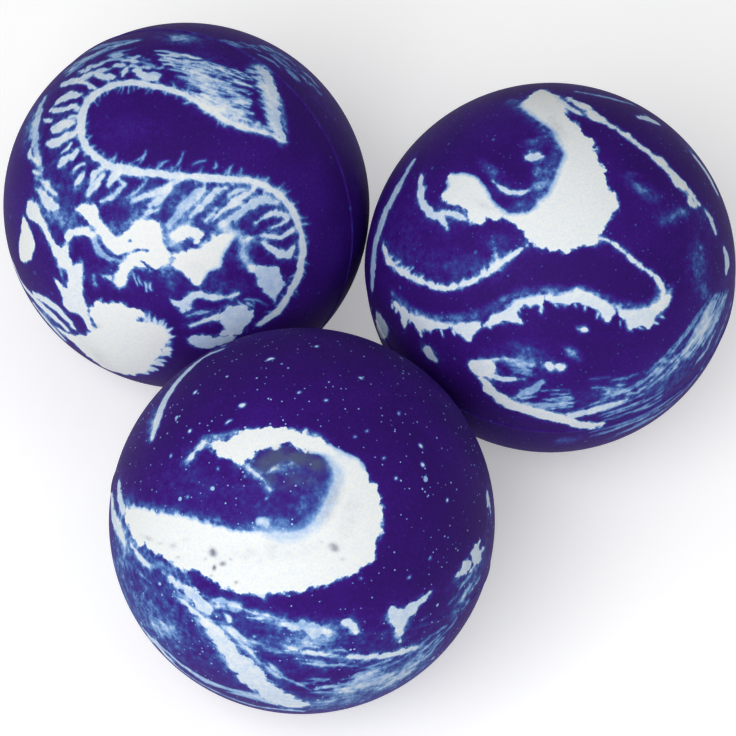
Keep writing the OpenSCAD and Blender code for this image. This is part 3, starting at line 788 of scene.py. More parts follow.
FRONT_MARKS: tuple[Mark, ...] = (
    # wide thin white in the lower half
    *clouds((-84, -38, 45, 20, -60, 28), (-66, -56, 40, 20, -45, 11), (-30, -75, 60, 16, -25, 13),
        (-15, -60, 30, 8, -10, 16), (10, -66, 60, 18, 0, 17), (50, -70, 40, 20, 30, 8),
        (85, -35, 30, 10, 60, 14), (-92, -10, 25, 6, 85, 30)),
    # the hook, soft on its inner side and toothed on its outer side
    *patches(Look(0.95, 0.024, 0.014, 0.014, 0.3), (-52.5, 41, -45, 42, -38, 42.5, -30, 46.5, -20, 48,
        -10, 47.5, 0, 45.5, 10, 42, 18, 37, 25, 33.5, 30, 31, 33, 25, 37, 19, 41, 12, 42, 3, 41.5, -8,
        38.5, -12, 37.5, -20, 31, -24, 25, -29, 15, -32.5, 5, -36, -5, -37.5, -15, -38, -25, -38.5,
        -32, -38, -40, -35, -50, -30, -55, -26, -62, -25, -70, -20, -75, -17, -82, -13, -87, -9, -90.5, -3,
        -91.5, 2, -90, 6.5, -85, 6.5, -70, 3, -60, 1.5, -50, -1, -40, -4.5, -30, -6, -20, -7, -10, -7,
        -1, -6, 7, 0, 12, 8, 15, 16, 17.5, 23, 15, 29, 12, 33, 8, 35, 1, 35, -3, 37.5, -8, 40, -13, 37.5,
        -18, 37, -23, 34, -29, 30.5, -27, 27, -34, 29, -38, 32, -43, 33, -47, 37),
        piece="front_hook_streak"),
    *bands(SOFT, (-51, 40, 14, -54, 37.5, 8, -57.5, 33.5, 6), (-58, 32.5, 14, -59.2, 31.5, 12),
        (-21.5, -0.5, 18, -19, -1, 16)),
    *bands(MIST, (-10, -1, 3, -16, -0.5, 4)),
    *bands(SOFT, (-23, -38.5, 8, -20, -39, 7)),
    # grey thin rubber inside the hook's top, and its soft inner side
    *smudges((-16, 31, 13, 7, 25, 100), (-2, 32, 13, 6, -5, 100), (7, 29, 10, 6, -20, 80),
        (-16, 22, 6, 6, 0, 70), (-2, 21, 20, 8, 0, 45)),
    *clouds((-6, 28, 22, 10, -10, 20), (2, 12, 12, 16, 0, 20), (-30, 12, 40, 16, -12, 12),
        (-62, 20, 30, 16, 0, 11)),
    Blur(path(-10, -6.8, 0, -5.5, 8, 1, 13, 10, 16, 18, 18, 25), 0.1, 0.09),
    Glow(path(-2, -6, 5, 0, 10, 8, 13, 16, 16, 22), 0.08, 0.16),
    Blur(path(-88, 6.5, -70, 3, -50, -1, -30, -6, -10, -6.5), 0.03, 0.014),
    Glow(path(-90, 8, -70, 4.5, -50, 0.5, -30, -4.5, -10, -5), 0.035, 0.34),
    Glow(path(-50, 43.5, -42, 44, -34, 46), 0.02, 0.35),
    Glow(path(0, 46.5, 6, 45, 12, 42), 0.018, 0.3),
    *bands(SOFT, (-27.5, 27.2, 8, -22, 22.5, 8, -19, 20, 5, -16.5, 15.5, 2), (-17.5, 25, 4, -15, 26.2, 7,
        -13, 27.5, 3)),
    *bands(PALE, (-9, 28, 2, -6, 29.3, 5, -4.5, 29.8, 2)),
    *smudges((-80, -9, 5, 2, -20, 60), (-74, -12, 3, 1.5, 0, 60), (-67, -13, 3.5, 2.2, 0, 70),
        (-60, -10, 3, 1.5, 0, 50), (-46, -16.5, 3.5, 3, -45, 120), (-50, -20, 2, 1.2, 30, 70),
        (-45.5, -24.5, 2.2, 1.4, 80, 160), (-41, -22.5, 2.5, 1.8, 0, 130), (-37, -20, 1.4, 1, 0, 90),
        (-47, -28.5, 1.4, 1, 0, 90), (16.5, -14, 4.5, 3, -40, 125), (21, -20, 2.5, 1.5, 0, 80),
        (10, -11, 2, 1.2, 0, 60), (-34, -32, 1.6, 1.4, 0, 100), (-64, -19, 1.8, 1, 0, 80),
        (-15, -16, 45, 8, 5, 36), (16, 10, 18, 7, 65, 60), (24, 2, 20, 8, 70, 42)),
    # shoulder
    *bands(Look(0.7, 0.01, 0.012, 0.03, 0.35), (-42, 88.5, 5, -52, 84, 8, -62, 75, 9, -69, 66, 10,
        -73, 58, 12, -75.5, 50, 12, -77.5, 43, 6), piece="front_shoulder_streak"),
    *clouds((-77.5, 50, 10, 3.5, 80, 35)),
    # beside the mould line at the left rim
    *bands(SOFT, (-98.5, 12, 10, -97.5, 2, 14, -94, -6, 14, -91.5, -12, 6), (-95, 20, 6, -94.5, 12, 9,
        -92.5, 5, 10)),
    # waist and the fine lines that go on from it
    *bands(SOFT, (-88, -13, 6, -83, -20, 9, -79, -24, 5)),
    Glow(path(-86, -12, -78, -20, -68, -25, -60, -30), 0.03, 0.24),
    *bands(Look(0.66, 0.024, 0.03, 0.03, 0.3), (-71, -27.5, 4, -65, -32, 14, -58, -37, 24, -53, -42, 34,
        -48, -46.5, 18), piece="front_waist_streak"),
    *bands(PALE, (-46, -41, 10, -40, -42, 14, -33, -43.5, 6)),
    *bands(SOFT, (-45, -44.5, 5, -35, -44, 7, -27, -47.5, 7, -18, -49, 8, -10, -51.5, 4),
        piece="front_waist_streak"),
    *bands(PALE, (-28, -50, 3, -20, -50.5, 5, -13, -51, 3)),
    *bands(SOFT, (-66, -39, 4, -61, -42, 9, -57, -46, 12, -53, -49, 10), (-38, -50, 10, -37.5, -52, 10)),
    *bands(PALE, (-36.5, -56, 6, -35.5, -57.5, 8)),
    Sheaf(path(-88, -14, -70, -27, -50, -38, -30, -44), path(-90, -26, -75, -40, -60, -50, -42, -56), 12,
        0.2, 0.0035, 51, DIM),
    *clouds((-73, -56, 10, 4, -35, 35), (-68, -55, 6, 3, -20, 30)),
    # diagonal
    *patches(Look(0.72, 0.026, 0.03, 0.04, 0.35), (-53, -51, -47, -52, -40, -58, -33, -65, -25, -74,
        -18, -82, -11, -87, -3, -91.5, 4, -95, -5, -96.5, -15, -94.5, -23, -89.5, -31, -83, -37.5, -76,
        -42, -69, -48, -59), piece="front_diagonal_streak"),
    *gaps((-36, -62, 1, -29, -70, 2, -23, -76, 1)),
    Sheaf(path(-44, -53, -30, -65, -16, -79, 2, -88), path(-36, -56, -22, -68, -8, -80, 10, -87), 16, 0.22,
        0.005, 52, FINE),
    # bottom left rim
    Sheaf(path(-80, -60, -60, -78, -40, -88, -10, -95), path(-75, -63, -58, -77, -40, -86, -10, -92), 7,
        0.5, 0.006, 53, FINE),
    Glow(path(-82, -56, -65, -75, -47, -87, -25, -95.5, 0, -98.5), 0.022, 0.6),
    *smudges((-35, -90, 40, 5, -18, 25)),
    # thread and the flecks around it
    *patches(Look(0.5, 0.02, 0.03, 0.03, 0.3), (-10, -53, 0, -52, 10, -54, 13, -57.5, 6, -61, 2, -58,
        -5, -56.5)),
    *clouds((15, -60, 7, 7, 0, 40), (0, -62, 10, 4, 0, 25)),
    *bands(Look(0.74, 0.015, 0.02, 0.02, 0.3), (-8, -65, 7, 0, -67.5, 12, 9, -69.2, 9, 18, -69.8, 6,
        27, -70.8, 11, 40, -70.5, 11, 51, -68, 12, 61, -65, 6), piece="front_thread_streak"),
    *bands(PALE, (0, -73.5, 3, 10, -74.5, 7, 22, -74.8, 4), (-29, -62, 2, -24, -63, 6, -20, -64.5, 2)),
    *patches(SOFT, (20, -52.5, 25, -51, 28.5, -54, 28, -58.5, 25, -57)),
    *patches(Look(0.74, 0.018, 0.02, 0.02, 0.3), (44, -49, 46, -44.5, 50, -46, 56, -43, 67, -37, 60, -45.5,
        56, -51, 53, -55, 50.5, -63, 48, -57, 46, -53), piece="front_star_streak"),
    Sheaf(path(60, -50, 75, -40, 88, -28), path(66, -62, 82, -50, 94, -30), 8, 0.25, 0.004, 54, DIM),
    *bands(Look(0.76, 0.022, 0.02, 0.03, 0.3), (80, -29, 8, 85, -24.5, 20, 90, -19, 24, 94, -12, 12,
        96.5, -3, 5, 97, 6, 14, 96, 14, 5), piece="front_side_streak"),
    *gaps((93, -12, 10, 95.5, -6, 20, 96.5, 0, 20, 96.5, 4, 12), (86, -27, 2, 88, -23.5, 4, 87, -20, 8)),
    # bottom haze of fibres
    Sheaf(path(5, -83, 30, -79, 55, -68, 75, -50), path(10, -94, 40, -88, 65, -72, 83, -52), 22, 0.22,
        0.0045, 55, DIM),
    Sheaf(path(-5, -78, 20, -78, 45, -72), path(0, -90, 30, -88, 55, -78), 14, 0.25, 0.005, 56, DIM),
    *clouds((40, -84, 35, 7, 22, 50), (20, -88, 12, 4, 10, 40), (62, -69, 20, 4, 40, 26),
        (85, -38, 20, 3, 60, 30)),
    *smudges((35, -86, 40, 6, 20, 40)),
    Sheaf(path(-55, -50, -35, -58, -10, -60, 20, -62), path(-50, -56, -25, -70, 0, -74, 30, -76), 16, 0.16,
        0.004, 58, DIM),
    *clouds((10, -95, 30, 3, 5, 25)),
    # white specks
    Strokes(ends(-58.5, 46, -58, 46.5, 5.8, -39.5, 50, -36.5, 52, 4.3, -59.5, 12, -59, 12.5, 5,
        -30, 22.5, -29.5, 23, 4.3, -44, 26.5, -43.5, 27, 4.3, -19, 11, -18, 11.5, 3.6, 33, 46, 34, 46.5, 5,
        27, 43, 28, 43.5, 4.3, 42, 32, 43, 32.5, 4.3, 61, 39, 62, 38, 6.5, 62, 29, 63, 28.5, 7.9,
        48.5, 21.5, 49, 22, 5, -32, 59.5, -30, 60, 10, -18, 83, -15, 84, 5.8, -56, 66, -55, 67, 5,
        -2, 66, -1, 66.5, 4.3, 12, 62, 13, 62.5, 3.6, 30, 74, 31, 73.5, 4.3, 7, 90, 8, 90.5, 4.3,
        50, 55, 50.5, 56, 4.3, 75, 10, 75.5, 11, 4.3, -68, 33, -67.5, 34, 4.3, -74, -33, -73.5, -32.5, 4.3,
        30, -30, 31, -30, 4.3, 66, -20, 66.5, -19, 3.6, -25, -60, -24.5, -60, 4.3, 55, -30, 56, -29, 4.3),
        Look(0.85, 0.003, 0.004, 0.004, 0.1)),
    # rear
    *bands(Look(0.9, 0.022), (-50, 42, 20, -30, 52, 50, -5, 50, 80, 18, 34, 100, 26, 8, 120, 16, -20, 100,
        -8, -36, 80, -34, -36, 50, -55, -24, 20), piece="front_rear_streak", side=Side.REAR),
    Sheaf(path(-35, 58, 0, 58, 28, 40, 42, 10, 30, -25), path(-40, 75, 10, 75, 45, 50, 60, 10, 45, -35), 40,
        0.2, 0.01, 57, FINE, side=Side.REAR),
    *bands(SOFT, (-80, 20, 10, -72, -10, 25, -60, -40, 25, -35, -62, 25, 0, -72, 15), side=Side.REAR),
    *clouds((-20, 10, 30, 20, 30, 20), (10, -60, 60, 25, -10, 20), side=Side.REAR),
    *swirl(Side.LEFT, 25, 0.75, 81),
    *swirl(Side.BACK, 160, 0.8, 82),
    *swirl(Side.RIGHT, -60, 0.85, 83),
)

LEFT_MARKS: tuple[Mark, ...] = (
    *clouds((-10, -15, 65, 40, 0, 14), (-65, 10, 40, 20, 80, 20), (10, 4, 50, 12, 0, 20),
        (-30, 2, 20, 10, 0, 16), (-25, 42, 30, 12, 0, 10), (-55, 80, 35, 14, 35, 16),
        (0, -27, 30, 14, -10, 20), (72, 60, 40, 8, -52, 14), (93, 10, 40, 5, 88, 12)),
    # the winding streak with its hairs
    *bands(Look(0.78, 0.01, 0.018, 0.018, 0.3), (52, 36, 6, 45, 39.5, 11, 35, 42, 12, 25, 45, 14,
        15, 50.5, 12, 0, 60, 14, -10, 63.5, 14, -20, 66, 15, -32, 67.2, 16, -42, 65, 16, -51, 60, 18,
        -56, 53, 20, -57.8, 44, 22, -56, 34, 20, -50, 27, 20, -42, 22, 22, -32, 19.5, 26, -20, 18, 20,
        -8, 16.8, 21, 2, 16.3, 16, 12, 15.2, 22, 25, 15, 18, 38, 13.5, 18, 48, 8, 19, 55, 2, 18, 60, -8, 18,
        63, -18, 18, 63, -28, 20, 61, -38, 18, 56.5, -47, 19, 51, -56, 18, 45, -61, 14, 39, -65, 10),
        piece="left_winding_streak"),
    Hairs(path(40, 41, 15, 50, 0, 60, -20, 66, -42, 64.5, -55.5, 55, -58.5, 43, -50, 27, -33, 20.5,
        -12, 17.5, 22, 15.5, 38, 14.5, 52, 6, 60, -6, 63.5, -22, 62, -35, 57, -46, 48, -58), 150, 0.045,
        seed=41, half=0.004),
    Comb(path(-43, 27, -20, 21, 2, 20, 22, 17), path(-35, 35, -10, 31, 7, 28, 28, 25), 8, 0.005, 0.02, 14,
        PALE),
    Glow(path(42, 42, 30, 45, 20, 49, 10, 56), 0.035, 0.4),
    Glow(path(30, 13, 42, 12, 52, 7), 0.03, 0.25),
    # the wedge's edge
    *bands(Look(0.6, 0.022, 0.02, 0.03, 0.35), (37, 76, 8, 42, 73.5, 24, 45, 66, 26, 47, 58, 26,
        48.5, 50, 22, 50.5, 42, 26, 52.5, 36, 10), piece="left_wedge_streak"),
    Hairs(path(40, 72, 44, 62, 46, 50, 48, 42), 26, 0.06, (-1,), -40, 0.006, 42),
    Glow(path(50, 60, 53, 50, 54, 42), 0.02, 0.35),
    # wood-like grain above the winding streak
    Sheaf(path(-20, 85, -5, 83, 10, 80, 36, 72), path(8, 56, 17, 51, 25, 48, 36, 46), 70, 0.34, 0.0046, 11,
        Look(0.68, 0.004, 0.006, 0.006, 0.12), "left_grain_streaks"),
    Sheaf(path(4, 80, 16, 77, 36, 70), path(8, 60, 20, 52, 36, 46), 26, 0.3, 0.005, 12,
        Look(0.66, 0.004, 0.006, 0.006, 0.12), "left_grain_streaks"),
    *clouds((12, 68, 26, 17, -40, 36), (20, 53, 18, 5, -20, 42), (45, 60, 20, 7, -75, 30),
        (-4, 91.5, 16, 3.5, -3, 50)),
    Glow(path(-62, 75, -48, 84, -28, 90), 0.03, 0.36),
    Sheaf(path(-66, 70, -48, 80, -26, 86), path(-68, 74, -50, 86, -25, 92), 9, 0.5, 0.005, 62, DIM),
    Sheaf(path(18, 90, 45, 79, 66, 60), path(20, 96, 50, 85, 76, 62), 16, 0.2, 0.005, 63, DIM),
    *clouds((50, 82, 35, 5, -35, 16)),
    # teeth around the loop
    Strokes(ends(-50, 72, -40, 70, 18, -68, 66, -55, 67, 11, -55, 67, -50, 64, 12, -70, 57, -58, 60, 18,
        -74, 52, -62, 54, 13, -64, 54, -58, 53, 14, -73, 42, -66, 45, 24, -67, 44, -61, 45, 18,
        -76, 34, -67, 36, 22, -68, 36, -61, 39, 18, -68, 29, -63, 34, 7, -69, 22, -64, 27, 18,
        -64, 26, -60, 30, 16, -62, 19, -56, 23, 10, -61, 12, -56, 18, 12, -52, 13, -47, 20, 20,
        -54, 6, -46, 17, 12, -43, 11, -37, 19, 24, -78, 47, -74, 46, 10, -35, 71, -33, 75, 18,
        -28, 74, -17, 69, 22, -64, 48, -60, 49, 8), Look(0.75, 0.012, 0.01, 0.01, 0.25),
        "left_comb_streaks"),
    Sheaf(path(-60, 67, -48, 71, -34, 72, -16, 69), path(-58, 76, -44, 81, -28, 83, -12, 79), 12, 0.24,
        0.008, 64, Look(0.55, 0.012, 0.012, 0.012, 0.25), "left_comb_streaks"),
    *clouds((-68, 42, 28, 9, 85, 16)),
    # slanted strokes under the run
    *bands(PALE, (-10, -11, 16, -6, -5, 24, 0, 1, 24, 4.5, 7, 20, 9, 8.5, 10), piece="left_fan_streaks"),
    *bands(Look(0.62, 0.014, 0.02, 0.02, 0.25), (2, -5.5, 10, 9, 1, 17, 14, 7, 18, 21, 10, 10),
        piece="left_fan_streaks"),
    *bands(SOFT, (14, -8, 6, 20, -2, 14, 29, 4.5, 18, 35, 8, 14, 38.5, 13, 6), piece="left_fan_streaks"),
    *bands(Look(0.6, 0.014, 0.02, 0.02, 0.25), (18, -10, 12, 27, -5.5, 18, 34, 0.5, 24, 42, 3.5, 24,
        49, 2, 12), piece="left_fan_streaks"),
    *bands(SOFT, (38, -9, 6, 46, -4, 13, 53, -5, 16, 54, -8, 12, 46, -12, 6), (33, -18, 8, 43, -16, 13,
        50, -17, 13, 58, -13, 10), (40, -19, 8, 48, -24.5, 20, 55, -27, 20, 58, -22.5, 10),
        piece="left_fan_streaks"),
    Strokes(ends(-20, 7, -10, 10.5, 16, -11, 10, 2, 15.5, 14, -20, 0, -10, 9, 20, -30, 2, -16, 6, 12,
        -16, 6, -8, 12, 12, -54, 6, -45, 17, 14, -47, 2, -34, 11.5, 12, -34, 11.5, -38, 17, 10,
        -33, 4.5, -22, 14, 10, 22.5, 5.5, 33.5, 9.5, 9, 10, -8, 16, -1, 8, -25, -7, -16, -2, 12,
        4, 2, 10, 11, 7, 24, -1, 30, 2, 8), Look(0.6, 0.012, 0.012, 0.012, 0.25), "left_fan_streaks"),
    # heart and blobs
    *patches(Look(0.96, 0.014, 0.02, 0.02, 0.35), (-33, -14, -28, -8, -20, -7, -15, -10, -13, -16,
        -13.5, -21, -10, -25, -9.5, -30, -14, -33.5, -20, -35.5, -24.5, -33, -28, -32.5, -31, -37, -33, -42,
        -37, -45, -40, -41, -37, -34, -34, -28, -31, -25, -35, -23.5, -42, -22, -40, -18),
        piece="left_heart_streak"),
    *gaps((-33, -26.5, 3, -27, -24, 10, -21, -24.5, 4), (-17, -36, 10, -21, -33, 6, -25, -30, 3),
        (-42, -19, 6, -36, -21.5, 6, -31, -19, 2)),
    *patches(Look(0.96, 0.014, 0.02, 0.02, 0.35), (-8, -28.5, -4, -25, 4, -23.5, 9, -22, 15, -16.5, 21, -15,
        25.5, -15.5, 22, -22, 19, -27, 18, -33, 11, -36, 7, -43, 3, -42, -2, -36, -7, -33.5),
        piece="left_heart_streak"),
    *patches(Look(0.9, 0.014, 0.02, 0.02, 0.35), (-9, -17, -5, -12.5, 0, -11, 6, -11.5, 10, -16, 8.5, -21,
        5, -20, 3, -17.5, -2, -18, -5, -20), piece="left_heart_streak"),
    *gaps((0, -24.5, 3, 6, -21.5, 7, 10, -17, 10), (-11, -19, 8, -9, -26, 5, -7, -28, 2)),
    Glow(path(-10, -20, -6, -14, 0, -10), 0.03, 0.36),
    *smudges((5, -33, 8, 6, 0, 30)),
    Blur(path(10, -36, 17, -31, 20, -23, 26, -18), 0.04, 0.02),
    Glow(path(20, -12, 30, -18, 31, -26, 34, -33), 0.04, 0.55),
    Glow(path(-14, -36, -10, -40, -8, -45), 0.035, 0.2),
    Glow(path(-42, -10, -36, -12, -30, -6), 0.03, 0.3),
    Comb(path(-28, -37, -20, -42), path(-27, -45, -20, -50), 4, 0.005, 0.01, 65, SOFT),
    # left bars, ring and stem
    *patches(Look(0.92, 0.012, 0.015, 0.015, 0.3), (-61, -2, -57, 0.5, -50, 0.5, -47, -7, -42, -13,
        -37, -18, -30, -20, -30, -25, -38, -26.5, -43, -23, -48, -17, -52, -11, -57, -5.5),
        piece="left_branch_streak"),
    *patches(Look(0.88, 0.016, 0.02, 0.02, 0.35), (-86.5, 3, -82, 1, -79, -5, -76.5, -11, -74, -17,
        -70, -22, -66, -20, -62, -16, -57, -15.5, -53, -17.5, -50, -16, -54, -12.5, -60, -12, -66, -15,
        -64, -25, -63.5, -31, -61, -33, -57, -30, -57, -40, -57, -48, -55, -55, -53, -62, -50, -68,
        -54, -67, -58, -60, -63, -58.5, -67, -54, -69, -47, -72, -40, -66, -44, -65, -37, -69, -33,
        -73, -25, -79, -13, -83, -9, -87, -5), piece="left_branch_streak"),
    *bands(PALE, (-50, -18, 12, -48, -25, 16, -42, -28.5, 12, -35, -30, 5)),
    *bands(SOFT, (-42, -39, 10, -46, -38.5, 5), (-51, -38, 4, -50.5, -42, 8)),
    *bands(PALE, (-70, -33, 5, -67.5, -40, 4)),
    *clouds((-68, -8, 14, 5, -20, 30)),
    *patches(SOFT, (-83, 10, -77, 7, -73, 3, -69, -1, -73, -3.5, -78, 0, -80, 5)),
    # foot
    *patches(Look(0.96, 0.02, 0.02, 0.02, 0.35), (-53, -57, -48, -52, -44, -53.5, -38, -53, -30, -56,
        -22.5, -58, -23, -60.5, -28, -61.5, -20, -64, -13, -66.5, -10, -72, -13, -79, -18, -86, -22, -91,
        -30, -92.5, -42, -90, -53, -83, -63, -74, -72, -66, -64, -70, -56, -70, -50, -66),
        piece="left_foot_streak"),
    Hairs(path(-26, -62, -14, -66, -11, -74, -15, -83, -22, -90), 30, 0.045, (1,), -20, 0.007, 18, SOFT),
    Glow(path(-14, -68, -10, -75, -13, -82), 0.025, 0.35),
    *smudges((-49, -65.5, 4, 2, 0, 60), (-50, -80, 20, 5, -45, 40)),
    *gaps((-62, -60, 4, -58, -65, 16, -54, -68, 4)),
    # strokes low on the right
    *patches(Look(0.72, 0.014, 0.015, 0.015, 0.3), (-10, -50, -4, -52, 0, -49, 6, -46.5, 12, -47.5, 20, -49,
        28, -47.5, 24, -50.5, 14, -51.5, 6, -50, 2, -55, -2, -58.5, -5, -55.5), piece="left_low_streaks"),
    *patches(Look(0.7, 0.025, 0.015, 0.015, 0.3), (13, -62, 17, -57, 25, -54, 33, -55, 36.5, -60, 34, -64,
        30, -69, 22, -71, 18, -70, 21, -65, 17, -63), piece="left_low_streaks"),
    *bands(PALE, (1, -60, 4, 7, -58.5, 11, 13, -57.5, 6)),
    *bands(SOFT, (2, -65.5, 4, 8, -63.5, 11, 15, -60.5, 10)),
    *patches(Look(0.68, 0.018, 0.015, 0.015, 0.3), (0, -73, 6, -70.5, 15, -71.5, 27, -71, 22, -75, 12, -78,
        4, -77), piece="left_low_streaks"),
    *patches(Look(0.64, 0.02, 0.015, 0.015, 0.3), (33.5, -32.5, 40, -33.5, 48, -32, 52, -38, 54, -42,
        50, -47, 48.5, -52.5, 44, -48.5, 39, -43, 37, -38), piece="left_low_streaks"),
    Comb(path(30, -50, 36, -50), path(36, -56, 42, -55), 4, 0.006, 0.015, 22, PALE),
    *clouds((20, -45, 20, 8, 0, 16)),
    # left rim
    *bands(Look(0.46, 0.02, 0.03, 0.03, 0.4), (-78, 58, 6, -82, 46, 14, -82.5, 32, 14, -79, 20, 8),
        piece="left_side_streaks"),
    *clouds((-86, 42, 18, 4, 75, 36)),
    Comb(path(-86, 30, -82, 18, -78, 10), path(-82, 26, -77, 15, -73, 7), 5, 0.014, 0.015, 23, SOFT),
    *patches(Look(0.96, 0.01, 0.01, 0.01, 0.3), (-89, -6, -85, -14, -83, -21, -85, -28.5, -89.5, -30.5,
        -91.5, -25, -90.5, -15), piece="left_side_streaks"),
    *bands(VEIN, (-96, -28, 5, -90, -42, 7, -83, -51, 8, -75, -58.5, 9, -66, -67, 8)),
    *bands(VEIN, (-83, -48.5, 6, -75, -53, 12, -68, -59, 13, -62, -66.5, 8), piece="left_side_streaks"),
    *bands(SOFT, (-84, -53, 5, -77, -62, 10, -68, -72, 10)),
    *clouds((-76, -60, 8, 3, -45, 40)),
    # rear
    *bands(Look(0.86, 0.016), (48, 50, 15, 20, 58, 30, -10, 46, 35, -26, 22, 35, -12, 0, 35, 15, -14, 35,
        30, -36, 35, 16, -58, 30, -12, -66, 15), piece="left_rear_streak", side=Side.REAR),
    Hairs(path(48, 50, 20, 58, -10, 46, -26, 22, -12, 0, 15, -14, 30, -36, 16, -58), 70, 0.07, seed=66,
        half=0.009, side=Side.REAR),
    Comb(path(10, 66, -16, 56, -36, 26, -24, -4), path(12, 78, -26, 66, -50, 26, -34, -14), 26, 0.012,
        0.015, 25, side=Side.REAR),
    *clouds((30, -30, 50, 30, 40, 18), (-50, -30, 30, 30, 0, 15), side=Side.REAR),
    *swirl(Side.BACK, 20, 0.9, 84),
    *swirl(Side.LEFT, 200, 0.85, 85),
    *swirl(Side.RIGHT, 75, 0.8, 86),
)

